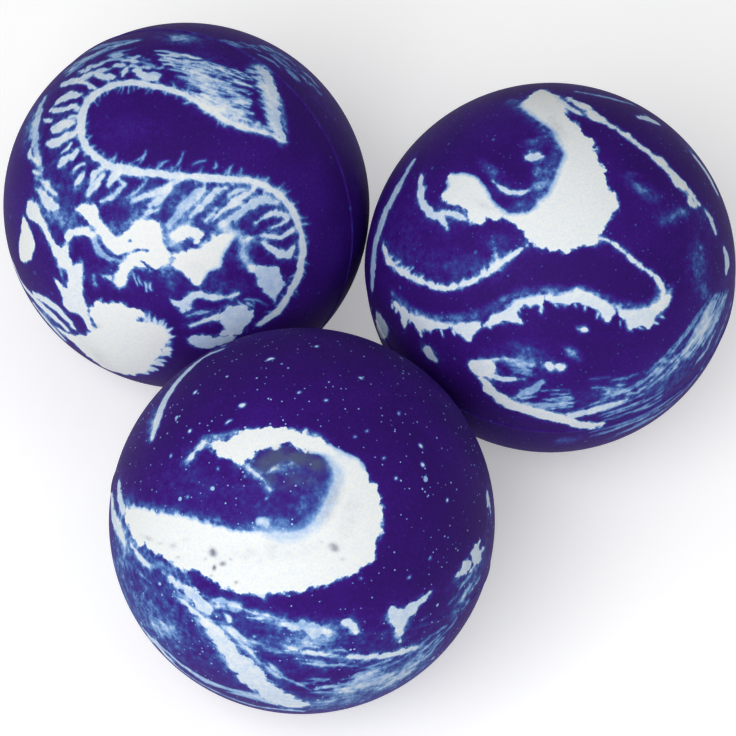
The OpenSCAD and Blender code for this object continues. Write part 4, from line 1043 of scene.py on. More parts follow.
RIGHT_MARKS: tuple[Mark, ...] = (
    *clouds((65, 27, 8, 4, 30, 42), (72, 30, 5, 3, -20, 36), (50, 42, 10, 4, -30, 34),
        (44, 50, 6, 3, 0, 26), (80, 2, 6, 12, 0, 30), (83, -12, 5, 8, 0, 28), (78, 62, 20, 3, -45, 20)),
    # boot
    *patches(Look(0.94, 0.02, 0.015, 0.015, 0.3), (-12, 92, -4, 96.5, 3, 92.5, 8, 87, 10, 80, 15, 78,
        18, 72, 24, 68, 25, 60, 28, 55, 30, 50, 31, 45, 35, 40, 37, 34, 35, 29, 30, 23, 27, 18, 25, 12,
        20, 12, 10, 9, 0, 10, -5, 10, -10, 14, -15, 20, -20, 24, -32, 27, -38, 24, -44, 24, -45, 29,
        -50, 33, -58, 36, -59, 40, -55, 44, -55, 50, -48, 51, -40, 49, -35, 43, -32, 38, -28, 33, -22, 29,
        -15, 29, -10, 31, -6, 35, 0, 41, 3, 48, 6, 56, 8, 62, 5, 68, 2, 74, -3, 78, -10, 83, -15, 88),
        piece="right_boot_streak"),
    Blur(path(-14, 88, -3, 78, 5, 68, 8, 62, 3, 48, -6, 35), 0.06, 0.03),
    Glow(path(-20, 90, -3, 76, 4, 64, 0, 50, -8, 36, -20, 30), 0.05, 0.3),
    Blur(path(-55, 44, -48, 50, -38, 47, -30, 34, -15, 29), 0.045, 0.02),
    *smudges((4, 75, 14, 5, -60, 50), (-35, 34, 12, 4, -30, 35)),
    *bands(SOFT, (-31, 47, 5, -25, 42.5, 12, -18, 40.5, 13, -11, 42, 5), piece="right_crescent_streak"),
    *bands(SOFT, (-12.5, 60, 10, -8, 60, 24, -4.5, 60, 10)),
    *clouds((-10, 67, 8, 4.5, 20, 40), (-6, 52, 5, 5, 0, 42), (-7, 44, 4, 3, 0, 40),
        (-35, 55, 6, 5, -40, 20), (-30, 52, 10, 4, -30, 20)),
    *bands(SOFT, (-69.5, 50, 8, -70, 43, 14, -69, 36, 18, -64.5, 30, 22, -59, 27, 24, -55.5, 22, 10),
        piece="right_hook_streak"),
    *bands(SOFT, (-58, 30, 14, -52, 29, 18, -46, 26.5, 14)),
    # loop
    *bands(Look(0.8, 0.014, 0.03, 0.015, 0.35), (-90.5, 12, 8, -87, 4, 13, -80, -2, 14, -70, -7, 13,
        -56, -11, 13, -41, -6.5, 13, -28, 1.5, 13, -20, 7, 12, -13, 12, 10), piece="right_loop_streak"),
    *bands(SOFT, (-30, 10, 6, -28.5, 4, 10, -28, 1, 10)),
    Hairs(path(-87, 4, -70, -7, -56, -11, -41, -6.5, -20, 7), 26, 0.035, (1,), 25, 0.006, 45, SOFT),
    *clouds((-50, 2, 35, 12, -8, 22), (-30, 16, 12, 5, 0, 22), (-80, 20, 12, 25, 0, 14)),
    # string and wave
    *bands(VEIN, (27, 16, 12, 33, 14, 9, 38, 10, 11, 43, 5.5, 14, 50, 0, 11, 57, -5, 13, 61, -12, 12,
        61, -18, 16), (60, -20, 14, 64, -15, 7, 65, -12, 4), piece="right_wave_streak"),
    *patches(Look(0.84, 0.014, 0.014, 0.014, 0.3), (-86, -17.5, -81, -20, -75, -24.5, -68, -27, -59, -29.5,
        -50, -29.5, -42.5, -29.5, -34, -28, -30, -24.5, -25, -22.5, -19, -17.5, -11, -15.5, -6, -15,
        0, -14.5, 5, -14, 11, -13.5, 15, -11, 20, -12.5, 26, -15, 30, -17.5, 35, -21, 41, -22.5, 49, -22.5,
        55, -20, 60, -16, 65.5, -13, 64, -20, 60, -25, 56, -28.5, 54, -33, 50, -31, 46, -33, 42.5, -34,
        40, -28, 37, -25.5, 34, -25.5, 32, -29.5, 28.5, -27, 25, -22.5, 20, -20.5, 14, -18.5, 9, -20.5,
        3, -19.5, -2.5, -18, -4.5, -25, -7, -20, -12.5, -20.5, -17, -24, -15.5, -30, -20, -29, -26, -30,
        -31, -30.5, -36, -32, -40, -35, -44, -39.5, -49, -36, -52.5, -33, -59, -33, -65, -34.5, -69, -33,
        -70, -37, -73, -31, -76.5, -28.5, -79, -33, -81, -25), piece="right_wave_streak"),
    *gaps((-34, -27, 6, -37, -30, 5, -36, -33, 6), (-2, -13, 6, -3, -16, 3, -2, -19, 5), (34, -19, 8,
        36, -23, 5, 36, -27, 6)),
    Blur(path(-85, -14, -68, -27, -40, -27, -20, -18, 0, -13, 20, -15, 40, -23, 55, -24), 0.022, 0.012),
    Glow(path(-85, -14, -68, -26, -40, -25, -20, -15, 0, -12, 20, -13, 38, -20, 55, -20, 60, -10), 0.03,
        0.34),
    Hairs(path(-86, -20, -70, -31, -50, -34, -30, -30, -10, -20, 15, -20, 32, -27, 50, -32, 60, -25), 26,
        0.03, (-1,), 25, 0.006, 43, SOFT),
    # crown
    *bands(Look(0.8, 0.02, 0.015, 0.02, 0.3), (10, 91.5, 5, 18, 87, 10, 25, 81.5, 14, 34, 76, 8, 43, 70, 10,
        52, 63, 9, 61, 55.5, 13, 69, 48, 14, 75, 41, 11, 80, 34, 5), piece="right_crown_streak"),
    *bands(SOFT, (84, 30, 6, 87, 25, 10, 89, 19, 5), piece="right_crown_streak"),
    Hairs(path(13, 90, 34, 76, 52, 63, 68, 49, 79, 35), 16, 0.022, (1, -1), 60, 0.008, 44, SOFT),
    Strokes(ends(22, 83, 27, 80, 20, 57, 59, 63, 53, 18, 66, 49, 72, 43, 18, 40, 72, 43, 70, 14,
        75, 38, 77, 34, 14, 18, 88, 20, 85, 16), VEIN, "right_crown_streak"),
    *bands(SOFT, (2, 93, 8, 8, 88, 10, 16, 83, 6)),
    *bands(PALE, (15, 95, 3, 30, 92, 6, 45, 88, 3)),
    *bands(SOFT, (48, 81, 5, 53, 80, 10, 58, 78, 5), (77, 61, 5, 85, 50, 10, 90, 40, 6), (94, 10, 6,
        95.5, 3, 12, 95, -3, 6)),
    # low vein and the fine lines by it
    *patches(VEIN, (-44, -52, -38, -49.5, -31, -50.5, -29, -55, -33, -59, -41, -57.5),
        piece="right_low_streak"),
    *bands(Look(0.88, 0.016, 0.02, 0.015, 0.3), (-37, -60, 12, -31, -67.5, 26, -22, -73.5, 26,
        -10, -77.5, 24, 0, -80.5, 26, 8, -82, 22, 16, -85, 18, 28, -85, 10), piece="right_low_streak"),
    *bands(SOFT, (-33, -58, 14, -24, -60, 14, -15, -60, 5), (8, -81.5, 14, 22, -77.5, 16, 34, -74, 12,
        42, -71, 4)),
    *bands(PALE, (-17, -69, 10, -10, -66, 22, -4, -62, 12), (-16, -73.5, 6, -5, -74.5, 14, 8, -74, 10)),
    Sheaf(path(-22, -70, -5, -66, 10, -66), path(-20, -76, 0, -78, 15, -76), 12, 0.4, 0.005, 67, FINE),
    *bands(SOFT, (-32, -50, 4, -25, -49, 6, -20, -50, 4)),
    Sheaf(path(-26, -50, -12, -50, -2, -53), path(-26, -56, -14, -58, -2, -60), 9, 0.5, 0.005, 68, DIM),
    Glow(path(-22, -50, -12, -51, -4, -53), 0.03, 0.35),
    *clouds((-13, -45, 12, 5, -15, 30)),
    *bands(SOFT, (-0.5, -52.5, 18, 0.5, -54, 18)),
    *bands(VEIN, (4.5, -53.5, 16, 6.5, -54, 18)),
    *clouds((12, -46, 7, 3.5, -35, 55)),
    *patches(VEIN, (14, -32.5, 19, -32, 20, -34, 17, -34.5)),
    # rim
    Sheaf(path(15, -74, 45, -62, 68, -40, 86, -16), path(30, -84, 60, -72, 84, -45, 97, -12), 38, 0.24,
        0.0042, 27, Look(0.36, 0.006, 0.008, 0.008, 0.12), "right_rim_streaks"),
    Sheaf(path(55, -56, 70, -44, 85, -24), path(60, -60, 76, -47, 92, -22), 6, 0.4, 0.005, 28,
        Look(0.56, 0.008, 0.01, 0.01, 0.15), "right_rim_streaks"),
    Sheaf(path(20, -60, 42, -58, 60, -48), path(24, -70, 46, -68, 66, -52), 16, 0.2, 0.0045, 34, DIM),
    Sheaf(path(20, -90, 55, -77, 80, -55, 97, -20), path(25, -95, 60, -79, 85, -52, 98.5, -18), 10, 0.35,
        0.004, 35, DIM),
    *clouds((70, -52, 45, 12, 50, 30), (35, -66, 25, 8, 15, 28), (86, -30, 25, 8, 62, 16),
        (80, 10, 35, 12, 85, 14), (55, 35, 20, 10, -40, 14), (10, -93, 10, 2.5, 10, 40)),
    # left rim
    *bands(Look(0.6, 0.014, 0.02, 0.04, 0.3), (-74, 58, 6, -83, 42, 12, -90, 28, 14, -94.5, 13, 13,
        -96, 0, 14, -96.5, -10, 8), piece="right_side_streak"),
    *patches(SOFT, (-94, -24, -90, -28, -87.5, -34, -90, -39, -93.5, -33), (-69, -43, -65, -43, -61, -50,
        -64, -50, -67, -48)),
    *clouds((-35, -45, 40, 10, 0, 8)),
    # rear
    *bands(Look(0.92, 0.024), (-55, -30, 15, -36, -42, 40, -12, -36, 60, 5, -15, 70, 8, 12, 90, 22, 36, 80,
        45, 42, 40, 60, 30, 15), piece="right_rear_streak", side=Side.REAR),
    Sheaf(path(-40, -50, 5, -45, 25, -10, 30, 15), path(-40, -68, 20, -60, 45, -15, 50, 10), 30, 0.25, 0.01,
        29, FINE, side=Side.REAR),
    Hairs(path(-50, -36, -30, -46, -5, -40, 12, -20, 18, 10, 30, 28), 40, 0.06, (-1,), 10, 0.01, 69, SOFT,
        Side.REAR),
    *clouds((-20, 30, 50, 25, 20, 16), side=Side.REAR),
    *swirl(Side.BACK, -50, 0.85, 87),
    *swirl(Side.RIGHT, 110, 0.85, 88),
    *swirl(Side.LEFT, 150, 0.75, 89),
)


@dataclass(frozen=True)
class MouldLine:
    """The low round bead where the halves of the mould met.

    Attributes:
        CUTS: Where the skin is cut for it, in half widths from its circle.
        normal: What its circle is square to, across, up and out of the ball's face.
        height: How high it stands, in metres.
        half: Half its width, in metres.
    """

    CUTS = (-1.0, -0.5, 0.0, 0.5, 1.0)

    normal: Row
    height: float = 0.08 * MM
    half: float = 0.183 * MM

    def rise(self, off: np.ndarray) -> np.ndarray:
        """How high the bead stands at distances from its circle."""
        round_radius = (self.half**2 + self.height**2) / (2 * self.height)
        arc = np.sqrt(np.maximum(round_radius**2 - off**2, 0.0)) - (round_radius - self.height)
        return np.where(np.abs(off) < self.half, np.maximum(arc, 0.0), 0.0)


@dataclass(frozen=True)
class BallPlan:
    """What one ball is made to.

    Attributes:
        name: What the names of its nodes begin with.
        mould_line: Its mould line.
        dust: How much white dust is pressed into its skin, from 0 to 1.
        thin: How far its blue is lifted towards light blue all over, from 0 to 1; the front ball's larger
            lift is painted light, which makes it lighter than the two behind it, as if more light fell on
            it.
        marks: Its marbling.
    """

    name: str
    mould_line: MouldLine
    dust: float
    thin: float
    marks: tuple[Mark, ...]

    @property
    def body(self) -> str:
        """The body that the ball rides on."""
        return f"{self.name}_ball"

    @property
    def rubber(self) -> str:
        """The node of its blue rubber."""
        return f"{self.name}_blue_rubber"


def choose(obj: bpy.types.Object) -> None:
    """Makes an object the only one that operators work on."""
    bpy.ops.object.select_all(action="DESELECT")
    obj.select_set(True)
    bpy.context.view_layer.objects.active = obj


def vertices_of(obj: bpy.types.Object) -> np.ndarray:
    """The places of an object's vertices, one a row."""
    places = np.empty(len(obj.data.vertices) * 3)
    obj.data.vertices.foreach_get("co", places)
    return places.reshape(-1, 3)


def triangles_of(obj: bpy.types.Object) -> np.ndarray:
    """The three vertices of each face of an object made of triangles."""
    corners = np.empty(len(obj.data.loops), np.int32)
    obj.data.loops.foreach_get("vertex_index", corners)
    return corners.reshape(-1, 3)


def choose_faces(obj: bpy.types.Object, chosen: np.ndarray) -> None:
    """Opens an object for editing with some of its faces selected."""
    choose(obj)
    mesh = obj.data
    mesh.vertices.foreach_set("select", np.zeros(len(mesh.vertices), bool))
    mesh.edges.foreach_set("select", np.zeros(len(mesh.edges), bool))
    mesh.polygons.foreach_set("select", chosen)
    bpy.context.tool_settings.mesh_select_mode = (False, False, True)
    bpy.ops.object.mode_set(mode="EDIT")


def apply(obj: bpy.types.Object, kind: str, **settings) -> None:
    """Adds a modifier to an object and applies it."""
    choose(obj)
    modifier = obj.modifiers.new(kind.lower(), kind)
    for name, value in settings.items():
        setattr(modifier, name, value)
    bpy.ops.object.modifier_apply(modifier=modifier.name)


@dataclass
class BouncyBall:
    """One ball: a blue skin with pockets, and the white streaks inlaid in them.

    Attributes:
        plan: What the ball is made to.
        rubber: The material of its rubber.
        eye: Where the ball is seen from.
        streak_depth: How deep the streaks go, in metres.
        splits: How many times the faces of its round form are split.
        fine_from: How far towards the eye the finer faces begin, as a share of the radius.
        snap: How near to a vertex a cut takes that vertex, in metres.
        crease: The angle from which an edge stays sharp.
    """

    plan: BallPlan
    rubber: bpy.types.Material
    eye: Vector
    streak_depth: float = 1.1 * MM
    splits: int = 7
    fine_from: float = 0.25
    snap: float = 0.01 * MM
    crease: float = math.radians(50)

    def __post_init__(self) -> None:
        """Measures where the ball is and lays out its faces for the eye."""
        plan, eye = self.plan, np.array(self.eye)
        low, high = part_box(plan.rubber)
        self.centre = np.array((low + high) / 2)
        self.radius = self.centre[2] = float(high.z) / 2
        self.faces = {side: Face.of(self.centre, self.radius, eye, side) for side in Side}

    def make(self) -> None:
        """Makes the ball's skin and its streaks."""
        skin = self.make_round()
        marbling = self.marble(skin)
        self.make_streaks(skin, marbling)
        self.finish(skin, self.plan.rubber)

    def make_round(self) -> bpy.types.Object:
        """Makes the ball's round form with its mould line, finer on the side that the eye sees."""
        bpy.ops.object.select_all(action="DESELECT")
        bpy.ops.mesh.primitive_ico_sphere_add(subdivisions=self.splits, radius=self.radius,
                                              location=self.centre)
        skin = bpy.context.object
        skin.name = f"{self.plan.name}_skin"
        out = self.faces[Side.FRONT].axes[2]
        middles = vertices_of(skin)[triangles_of(skin)].mean(axis=1)
        choose_faces(skin, middles @ out > self.fine_from * self.radius)
        bpy.ops.mesh.subdivide(number_cuts=1)
        bpy.ops.object.mode_set(mode="OBJECT")
        apply(skin, "CAST", cast_type="SPHERE", factor=1.0, use_radius_as_size=False,
              size=self.radius)
        bpy.ops.object.transform_apply(location=True, rotation=False, scale=False)
        line = self.plan.mould_line
        normal = unit(np.array(line.normal)) @ self.faces[Side.FRONT].axes
        bpy.ops.object.mode_set(mode="EDIT")
        for step in line.CUTS:
            bpy.ops.mesh.select_all(action="SELECT")
            bpy.ops.mesh.bisect(plane_co=self.centre + normal * step * line.half, plane_no=normal,
                                threshold=self.snap)
        bpy.ops.mesh.select_all(action="SELECT")
        bpy.ops.mesh.quads_convert_to_tris()
        bpy.ops.object.mode_set(mode="OBJECT")
        offset = vertices_of(skin) - self.centre
        seam = unit(offset) @ normal * self.radius
        raised = unit(offset) * (self.radius + line.rise(seam))[:, None]
        skin.data.vertices.foreach_set("co", (raised + self.centre).ravel())
        self.attribute(skin, "seam", seam / MM)
        return skin

    @staticmethod
    def attribute(obj: bpy.types.Object, name: str, values: np.ndarray) -> None:
        """Writes a number for each vertex of an object, for its material to read."""
        layer = obj.data.attributes.new(name, "FLOAT", "POINT")
        layer.data.foreach_set("value", values.astype(np.float32))

    def marble(self, skin: bpy.types.Object) -> Marbling:
        """Lays the marbling on the skin and writes it there."""
        marbling = Marbling(unit(vertices_of(skin) - self.centre), self.faces, self.plan.thin)
        marbling.lay(self.plan.marks)
        for name, values in marbling.fields.items():
            self.attribute(skin, name, values)
        self.attribute(skin, "dust", np.full(len(marbling.level), self.plan.dust))
        return marbling

    def make_streaks(self, skin: bpy.types.Object, marbling: Marbling) -> None:
        """Parts the white streaks from the skin and sinks pockets under them."""
        names = sorted(marbling.pieces)
        levels = np.stack([marbling.pieces[name] for name in names])
        middle = levels[:, triangles_of(skin)].mean(axis=2)
        owner = np.where(middle.max(axis=0) > 0, middle.argmax(axis=0), -1)
        for name in names:
            skin.data.materials.append(bpy.data.materials.new(f"{name}_part"))
        skin.data.polygons.foreach_set("material_index", np.maximum(owner, 0).astype(np.int32))
        choose_faces(skin, owner >= 0)
        bpy.ops.mesh.duplicate()
        bpy.ops.mesh.separate(type="SELECTED")
        bpy.ops.object.mode_set(mode="OBJECT")
        parts = next(o for o in bpy.context.selected_objects if o != skin)
        choose_faces(skin, owner[:len(skin.data.polygons)] >= 0)
        bpy.ops.mesh.extrude_region_move()
        shrink = (self.radius - self.streak_depth) / self.radius
        bpy.ops.transform.resize(value=(shrink,) * 3, center_override=self.centre)
        bpy.ops.object.mode_set(mode="OBJECT")
        choose(parts)
        bpy.ops.object.mode_set(mode="EDIT")
        bpy.ops.mesh.separate(type="MATERIAL")
        bpy.ops.object.mode_set(mode="OBJECT")
        for part in list(bpy.context.selected_objects):
            name = part.data.materials[0].name.removesuffix("_part")
            part.name = f"{name}_inlay"
            apply(part, "SOLIDIFY", thickness=self.streak_depth, offset=-1.0)
            self.finish(part, name)

    def finish(self, piece: bpy.types.Object, node: str) -> None:
        """Gives a piece its material and its body, and hides the node that it stands for."""
        choose(piece)
        piece.data.materials.clear()
        piece.data.materials.append(self.rubber)
        bpy.ops.object.shade_smooth_by_angle(angle=self.crease)
        bpy.ops.object.origin_set(type="ORIGIN_CURSOR")
        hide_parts(node)
        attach(piece, self.plan.body)
        log.info("%s: %d faces", piece.name, len(piece.data.polygons))


def linear(red: int, green: int, blue: int) -> tuple[float, float, float, float]:
    """A colour as shaders want it, from how it shows on a screen."""
    parts = [value / 255 for value in (red, green, blue)]
    return (*[p / 12.92 if p <= 0.04045 else ((p + 0.055) / 1.055) ** 2.4 for p in parts], 1.0)


@dataclass(frozen=True)
class Noise:
    """A cloudy noise: cells in a millimetre, layers of detail and how rough those are."""

    scale: float
    detail: float = 2.0
    rough: float = 0.5


class Graph:
    """The nodes of one material."""

    def __init__(self, name: str) -> None:
        """Starts a material with a plain surface shader."""
        self.material = bpy.data.materials.new(name)
        self.material.use_nodes = True
        self.tree = self.material.node_tree
        self.shader = self.tree.nodes["Principled BSDF"]

    def node(self, kind: str, settings: dict | None = None,
             inputs: dict | None = None) -> bpy.types.Node:
        """Adds a node.

        Args:
            kind: Its type.
            settings: Its properties by name, and a ramp's colours by place as stops.
            inputs: Numbers, colours or values for its sockets, by name or index.

        Returns:
            The node.
        """
        node = self.tree.nodes.new(kind)
        for name, value in (settings or {}).items():
            if name == "stops":
                elements = node.color_ramp.elements
                elements.remove(elements[1])
                for index, (place, colour) in enumerate(sorted(value.items())):
                    element = elements[0] if index == 0 else elements.new(place)
                    element.position, element.color = place, colour
            else:
                setattr(node, name, value)
        for name, value in (inputs or {}).items():
            self.join(value, node.inputs[name])
        return node

    def join(self, value: Value | float | tuple, socket: bpy.types.NodeSocket) -> None:
        """Links a value to a socket, or sets the socket to a number or colour."""
        if isinstance(value, Value):
            self.tree.links.new(value.socket, socket)
        else:
            socket.default_value = value

    def read(self, name: str) -> Value:
        """A number that the mesh carries for each vertex."""
        return Value(self, self.node("ShaderNodeAttribute", {"attribute_name": name}).outputs["Fac"])

    def noise(self, place: Value, kind: Noise) -> Value:
        """Cloudy noise about 0, mostly within one of it."""
        node = self.node("ShaderNodeTexNoise", {"noise_dimensions": "3D"},
                         {"Vector": place, "Scale": kind.scale, "Detail": kind.detail,
                          "Roughness": kind.rough})
        return (Value(self, node.outputs["Fac"]) - 0.5) * 4.0

    def lobes(self, place: Value, scale: float) -> Value:
        """Round swellings side by side about 0, mostly within one of it."""
        node = self.node("ShaderNodeTexVoronoi", {"feature": "SMOOTH_F1"},
                         {"Vector": place, "Scale": scale, "Smoothness": 0.35})
        return (0.42 - Value(self, node.outputs["Distance"])) * 3.0

    def specks(self, place: Value, scale: float) -> Value:
        """Distance to the nearest of many scattered points, in cells."""
        node = self.node("ShaderNodeTexVoronoi", {"feature": "F1"},
                         {"Vector": place, "Scale": scale})
        return Value(self, node.outputs["Distance"])

    def ramp(self, value: Value, stops: dict[float, tuple]) -> Value:
        """Colours by a number, smoothly from stop to stop."""
        node = self.node("ShaderNodeValToRGB", {"stops": stops}, {"Fac": value})
        return Value(self, node.outputs["Color"])

    def mix(self, share: Value, colour: Value, other: tuple) -> Value:
        """A colour with a share of another in it."""
        node = self.node("ShaderNodeMix", {"data_type": "RGBA"}, {0: share, 6: colour, 7: other})
        return Value(self, node.outputs[2])


class Value:
    """A socket that can be reckoned with like a number."""

    def __init__(self, graph: Graph, socket: bpy.types.NodeSocket) -> None:
        """Wraps a socket of a graph."""
        self.graph = graph
        self.socket = socket

    def math(self, operation: str, *values: Value | float, clamp: bool = False) -> Value:
        """Combines values with a Math node."""
        node = self.graph.node("ShaderNodeMath", {"operation": operation, "use_clamp": clamp},
                               dict(enumerate(values)))
        return Value(self.graph, node.outputs[0])

    def __add__(self, other: Value | float) -> Value:
        """Adds a value."""
        return self.math("ADD", self, other)

    def __radd__(self, other: float) -> Value:
        """Adds to a number."""
        return self.math("ADD", other, self)

    def __sub__(self, other: Value | float) -> Value:
        """Takes a value away."""
        return self.math("SUBTRACT", self, other)

    def __rsub__(self, other: float) -> Value:
        """Takes this from a number."""
        return self.math("SUBTRACT", other, self)

    def __mul__(self, other: Value | float) -> Value:
        """Multiplies by a value."""
        return self.math("MULTIPLY", self, other)

    def __rmul__(self, other: float) -> Value:
        """Multiplies a number."""
        return self.math("MULTIPLY", other, self)

    def __truediv__(self, other: Value | float) -> Value:
        """Divides by a value."""
        return self.math("DIVIDE", self, other)

    def __rtruediv__(self, other: float) -> Value:
        """Divides a number."""
        return self.math("DIVIDE", other, self)

    def __abs__(self) -> Value:
        """The value without its sign."""
        return self.math("ABSOLUTE", self)

    def step(self, low: Value | float, high: Value | float) -> Value:
        """0 at low, 1 at high and a smooth rise between them."""
        node = self.graph.node("ShaderNodeMapRange", {"interpolation_type": "SMOOTHSTEP"},
                               {"Value": self, "From Min": low, "From Max": high})
        return Value(self.graph, node.outputs["Result"])

    def screen(self, other: Value) -> Value:
        """Lays another cover over this one, both from 0 to 1."""
        return 1.0 - (1.0 - self) * (1.0 - other)


class MarbledRubber(Graph):
    """Blue and white rubber that were kneaded together and pressed, with a dull grained skin.

    Attributes:
        COLOURS: The rubber's colour by how white it is.
        SLATE: The colour of the grey patches.
        BLOT: Broad blotches, which make most other things uneven.
        RAGS: The ragged part of torn edges.
        WISPS: Finer rags, in the haze.
        SHADES: The slow change of colour over a ball.
        FLECKS: The finest change of colour.
        SCUFFS: How dullness changes.
        GRAIN: The coarse grain of the skin.
        PORES: The fine grain of the skin.
        SPECKS: How the size of the dust changes.
        LOBES: Cells in a millimetre of the round part of torn edges.
        SMALL: Cells in a millimetre of small dust.
        LARGE: Cells in a millimetre of large dust.
        FRINGE: How far the thin fringe of white reaches, as a share of the radius.
        SEAM: Between which distances the whitening of the mould line ends, in millimetres.
        ROUGHNESS: How dull blue rubber is.
        SPECULAR: How little the skin mirrors.
        BUMP: How strongly the grain shows.
        BUMP_HEIGHT: How high the grain is, in metres.
    """

    COLOURS = {
        0.00: linear(48, 14, 104),
        # The lighter blue at 0.06 is what the front ball's painted-light lift moves its blue towards.
        0.06: linear(58, 19, 124),
        0.15: linear(56, 42, 135),
        0.30: linear(58, 78, 157),
        0.50: linear(98, 139, 200),
        0.70: linear(160, 191, 232),
        0.86: linear(208, 224, 243),
        0.95: linear(234, 240, 244),
        1.00: linear(244, 246, 243),
    }
    SLATE = linear(77, 85, 122)
    BLOT = Noise(1.1)
    RAGS = Noise(1.5, 3.0, 0.62)
    WISPS = Noise(2.4, 3.0, 0.6)
    SHADES = Noise(0.16)
    FLECKS = Noise(5.0, 1.0)
    SCUFFS = Noise(3.0)
    GRAIN = Noise(4.5, 3.0, 0.6)
    PORES = Noise(11.0, 1.0)
    SPECKS = Noise(0.9, 0.0)
    LOBES = 1.25
    SMALL = 1.7
    LARGE = 0.4
    FRINGE = 0.016
    SEAM = (0.12, 0.3)
    ROUGHNESS = 0.66
    SPECULAR = 0.1
    BUMP = 0.25
    BUMP_HEIGHT = 0.012 * MM

    def __init__(self) -> None:
        """Makes the material."""
        super().__init__("marbled_rubber")
        coordinates = self.node("ShaderNodeTexCoord").outputs["Object"]
        place = self.node("ShaderNodeVectorMath", {"operation": "SCALE"},
                          {0: Value(self, coordinates), "Scale": 1 / MM})
        self.place = Value(self, place.outputs[0])
        self.blot = self.noise(self.place, self.BLOT)
        milk = self.milk()
        grey = self.read("grey") * (1.0 + self.blot * 0.5) * (1.0 - milk * 0.5)
        colour = self.mix(grey.step(0.0, 1.0), self.ramp(milk, self.COLOURS), self.SLATE)
        self.join(colour, self.shader.inputs["Base Color"])
        rough = milk * -0.08 + self.ROUGHNESS + self.noise(self.place, self.SCUFFS) * 0.03
        self.join(rough, self.shader.inputs["Roughness"])
        self.shader.inputs["Specular IOR Level"].default_value = self.SPECULAR
        self.join(self.grain(), self.shader.inputs["Normal"])

    def milk(self) -> Value:
        """How white the rubber is, from 0 to 1."""
        tear = self.lobes(self.place, self.LOBES) * 0.5 + self.noise(self.place, self.RAGS) * 0.7
        wisp = self.noise(self.place, self.WISPS)
        level, milk, torn, soft, haze = (
            self.read(name) for name in ("level", "milk", "torn", "soft", "haze"))
        edge = level + torn * tear
        white = edge.step(soft * -1.0, soft) * milk * (1.0 - self.blot.step(0.3, 1.4) * 0.1)
        fringe = (edge + torn * wisp * 0.4).step(-self.FRINGE, 0.0) * 0.3 * milk
        stray = wisp * 0.55 + self.blot * 0.5 + tear * 0.35
        # haze also holds the ball's lift, so the front ball's painted light, its lighter blue, comes in
        # here.
        thin = (haze + haze * (1.0 - haze) * stray).step(0.0, 1.0)
        shade = (self.noise(self.place, self.SHADES) * 0.5 + 0.5).step(0.2, 1.1) * 0.06
        fleck = self.noise(self.place, self.FLECKS) * 0.035
        seam = 1.0 - abs(self.read("seam")).step(*self.SEAM)
        fine = fleck + seam * (self.blot * 0.5 + 0.9).step(0.0, 2.0) * 0.16
        return white.screen(fringe).screen(thin).screen(self.dust()).screen(shade) + fine

    def dust(self) -> Value:
        """White dust pressed into the skin, from 0 to 1."""
        size = self.noise(self.place, self.SPECKS) * 0.05
        small = 1.0 - (self.specks(self.place, self.SMALL) - size).step(0.05, 0.16)
        large = 1.0 - (self.specks(self.place, self.LARGE) - size).step(0.04, 0.08)
        return small.math("MAXIMUM", small, large) * self.read("dust") * 0.75

    def grain(self) -> Value:
        """The bump of the pressed skin."""
        height = self.noise(self.place, self.GRAIN) + self.noise(self.place, self.PORES)
        bump = self.node("ShaderNodeBump", inputs={
            "Strength": self.BUMP, "Distance": self.BUMP_HEIGHT, "Height": height})
        return Value(self, bump.outputs["Normal"])


@dataclass(frozen=True)
class Lamp:
    """A square soft light.

    Attributes:
        name: What it is called.
        way: The direction from the balls to it.
        off: How far off it is, in balls.
        wide: How wide it is, in balls.
        watts: Its power for a ball of one metre.
    """

    name: str
    way: Row
    off: float
    wide: float
    watts: float

    def hang(self, middle: Vector, size: float) -> None:
        """Hangs the light for balls of a size that lie about a middle."""
        data = bpy.data.lights.new(self.name, "AREA")
        data.shape, data.size = "SQUARE", self.wide * size
        data.energy = self.watts * size**2
        light = bpy.data.objects.new(self.name, data)
        bpy.context.scene.collection.objects.link(light)
        back = Vector(self.way).normalized()
        light.location = middle + back * self.off * size
        light.rotation_euler = back.to_track_quat("Z", "Y").to_euler()


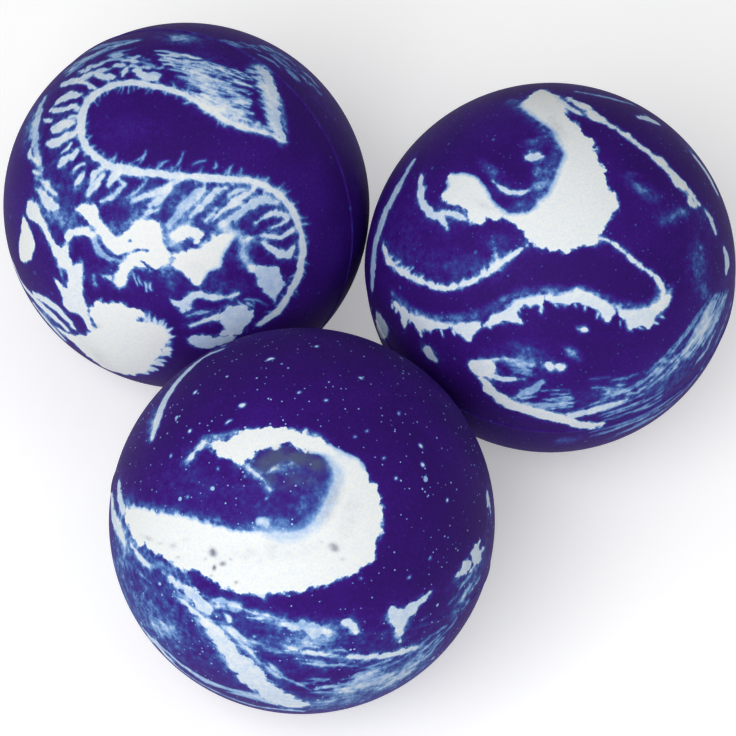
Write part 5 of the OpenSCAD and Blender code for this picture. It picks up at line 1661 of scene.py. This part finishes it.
@dataclass
class Studio:
    """The floor, the soft lights and the camera.

    Attributes:
        middle: The middle of the balls.
        size: Their diameter.
        lamps: The lights.
        sky: How strong the white light from all round is.
        floor_wide: How wide the floor is, in balls.
        floor_shade: How pale the floor is.
        floor_rough: How dull the floor is.
        floor_glow: What the floor gives off to what looks at it, and not to the balls.
    """

    middle: Vector
    size: float
    lamps: tuple[Lamp, ...] = (Lamp("key", (-0.42, -0.62, 1.0), 8.0, 5.8, 436.0),
                               Lamp("fill", (0.7, -0.3, 1.0), 14.0, 12.0, 280.0))
    sky: float = 0.3
    floor_wide: float = 60.0
    floor_shade: float = 0.93
    floor_rough: float = 0.9
    floor_glow: float = 0.3

    @property
    def eye(self) -> Vector:
        """Where the camera stands."""
        back = Vector((0.0, -math.cos(EYE_ELEVATION), math.sin(EYE_ELEVATION)))
        return self.aim + back * EYE_OFF_SHARE * self.size

    @property
    def aim(self) -> Vector:
        """What the camera looks at."""
        return self.middle + Vector(AIM_SHARES) * self.size

    def place_camera(self) -> None:
        """Puts the camera where the photograph was taken from."""
        data = bpy.data.cameras.new("camera")
        data.lens, data.sensor_width = LENS_MM, SENSOR_MM
        data.clip_start, data.clip_end = self.size * 0.1, self.size * 100
        camera = bpy.data.objects.new("camera", data)
        bpy.context.scene.collection.objects.link(camera)
        camera.location = self.eye
        camera.rotation_euler = (self.aim - self.eye).to_track_quat("-Z", "Y").to_euler()
        bpy.context.scene.camera = camera

    def lay_floor(self) -> None:
        """Lays a pale floor under the balls."""
        bpy.ops.object.select_all(action="DESELECT")
        bpy.ops.mesh.primitive_plane_add(size=self.size * self.floor_wide)
        floor = bpy.context.object
        floor.name = "floor"
        paper = Graph("floor_paper")
        rays = paper.node("ShaderNodeLightPath").outputs
        shown = (Value(paper, rays["Is Camera Ray"]) + Value(paper, rays["Is Glossy Ray"])
                 + Value(paper, rays["Is Transmission Ray"]))
        for name, value in (("Base Color", (*[self.floor_shade] * 3, 1.0)),
                            ("Roughness", self.floor_rough), ("Specular IOR Level", 0.0),
                            ("Emission Strength", 1.0), ("Emission Color", shown * self.floor_glow)):
            paper.join(value, paper.shader.inputs[name])
        floor.data.materials.append(paper.material)

    def light(self) -> None:
        """Lights the balls softly from all round, and from the left and front."""
        world = bpy.data.worlds.new("world")
        world.use_nodes = True
        background = world.node_tree.nodes["Background"].inputs
        background["Strength"].default_value = self.sky
        background["Color"].default_value = (1.0, 1.0, 1.0, 1.0)
        bpy.context.scene.world = world
        for lamp in self.lamps:
            lamp.hang(self.middle, self.size)


PLANS = (
    # The last number lifts each ball's blue towards light blue: 0.045 on the front ball against 0.01 and
    # 0.02 behind it is painted light, so the front ball looks lit more than the two behind it.
    BallPlan("front", MouldLine((0.2, 0.83, 0.52)), 0.9, 0.045, FRONT_MARKS),
    BallPlan("left", MouldLine((0.465, 0.325, -0.825)), 0.25, 0.01, LEFT_MARKS),
    BallPlan("right", MouldLine((0.07, 0.505, 0.86)), 0.4, 0.02, RIGHT_MARKS),
)


def main() -> None:
    """Makes the balls and their studio."""
    logging.basicConfig(level=logging.INFO, format="%(name)s: %(message)s")
    scene = bpy.context.scene
    scene.view_settings.view_transform = "Standard"
    low, high = cad_bounds
    studio = Studio(Vector((0.0, 0.0, (low.z + high.z) / 2)), high.z - low.z)
    studio.place_camera()
    studio.lay_floor()
    studio.light()
    rubber = MarbledRubber().material
    for plan in PLANS:
        BouncyBall(plan, rubber, studio.eye).make()


if __name__ == "__main__":
    main()
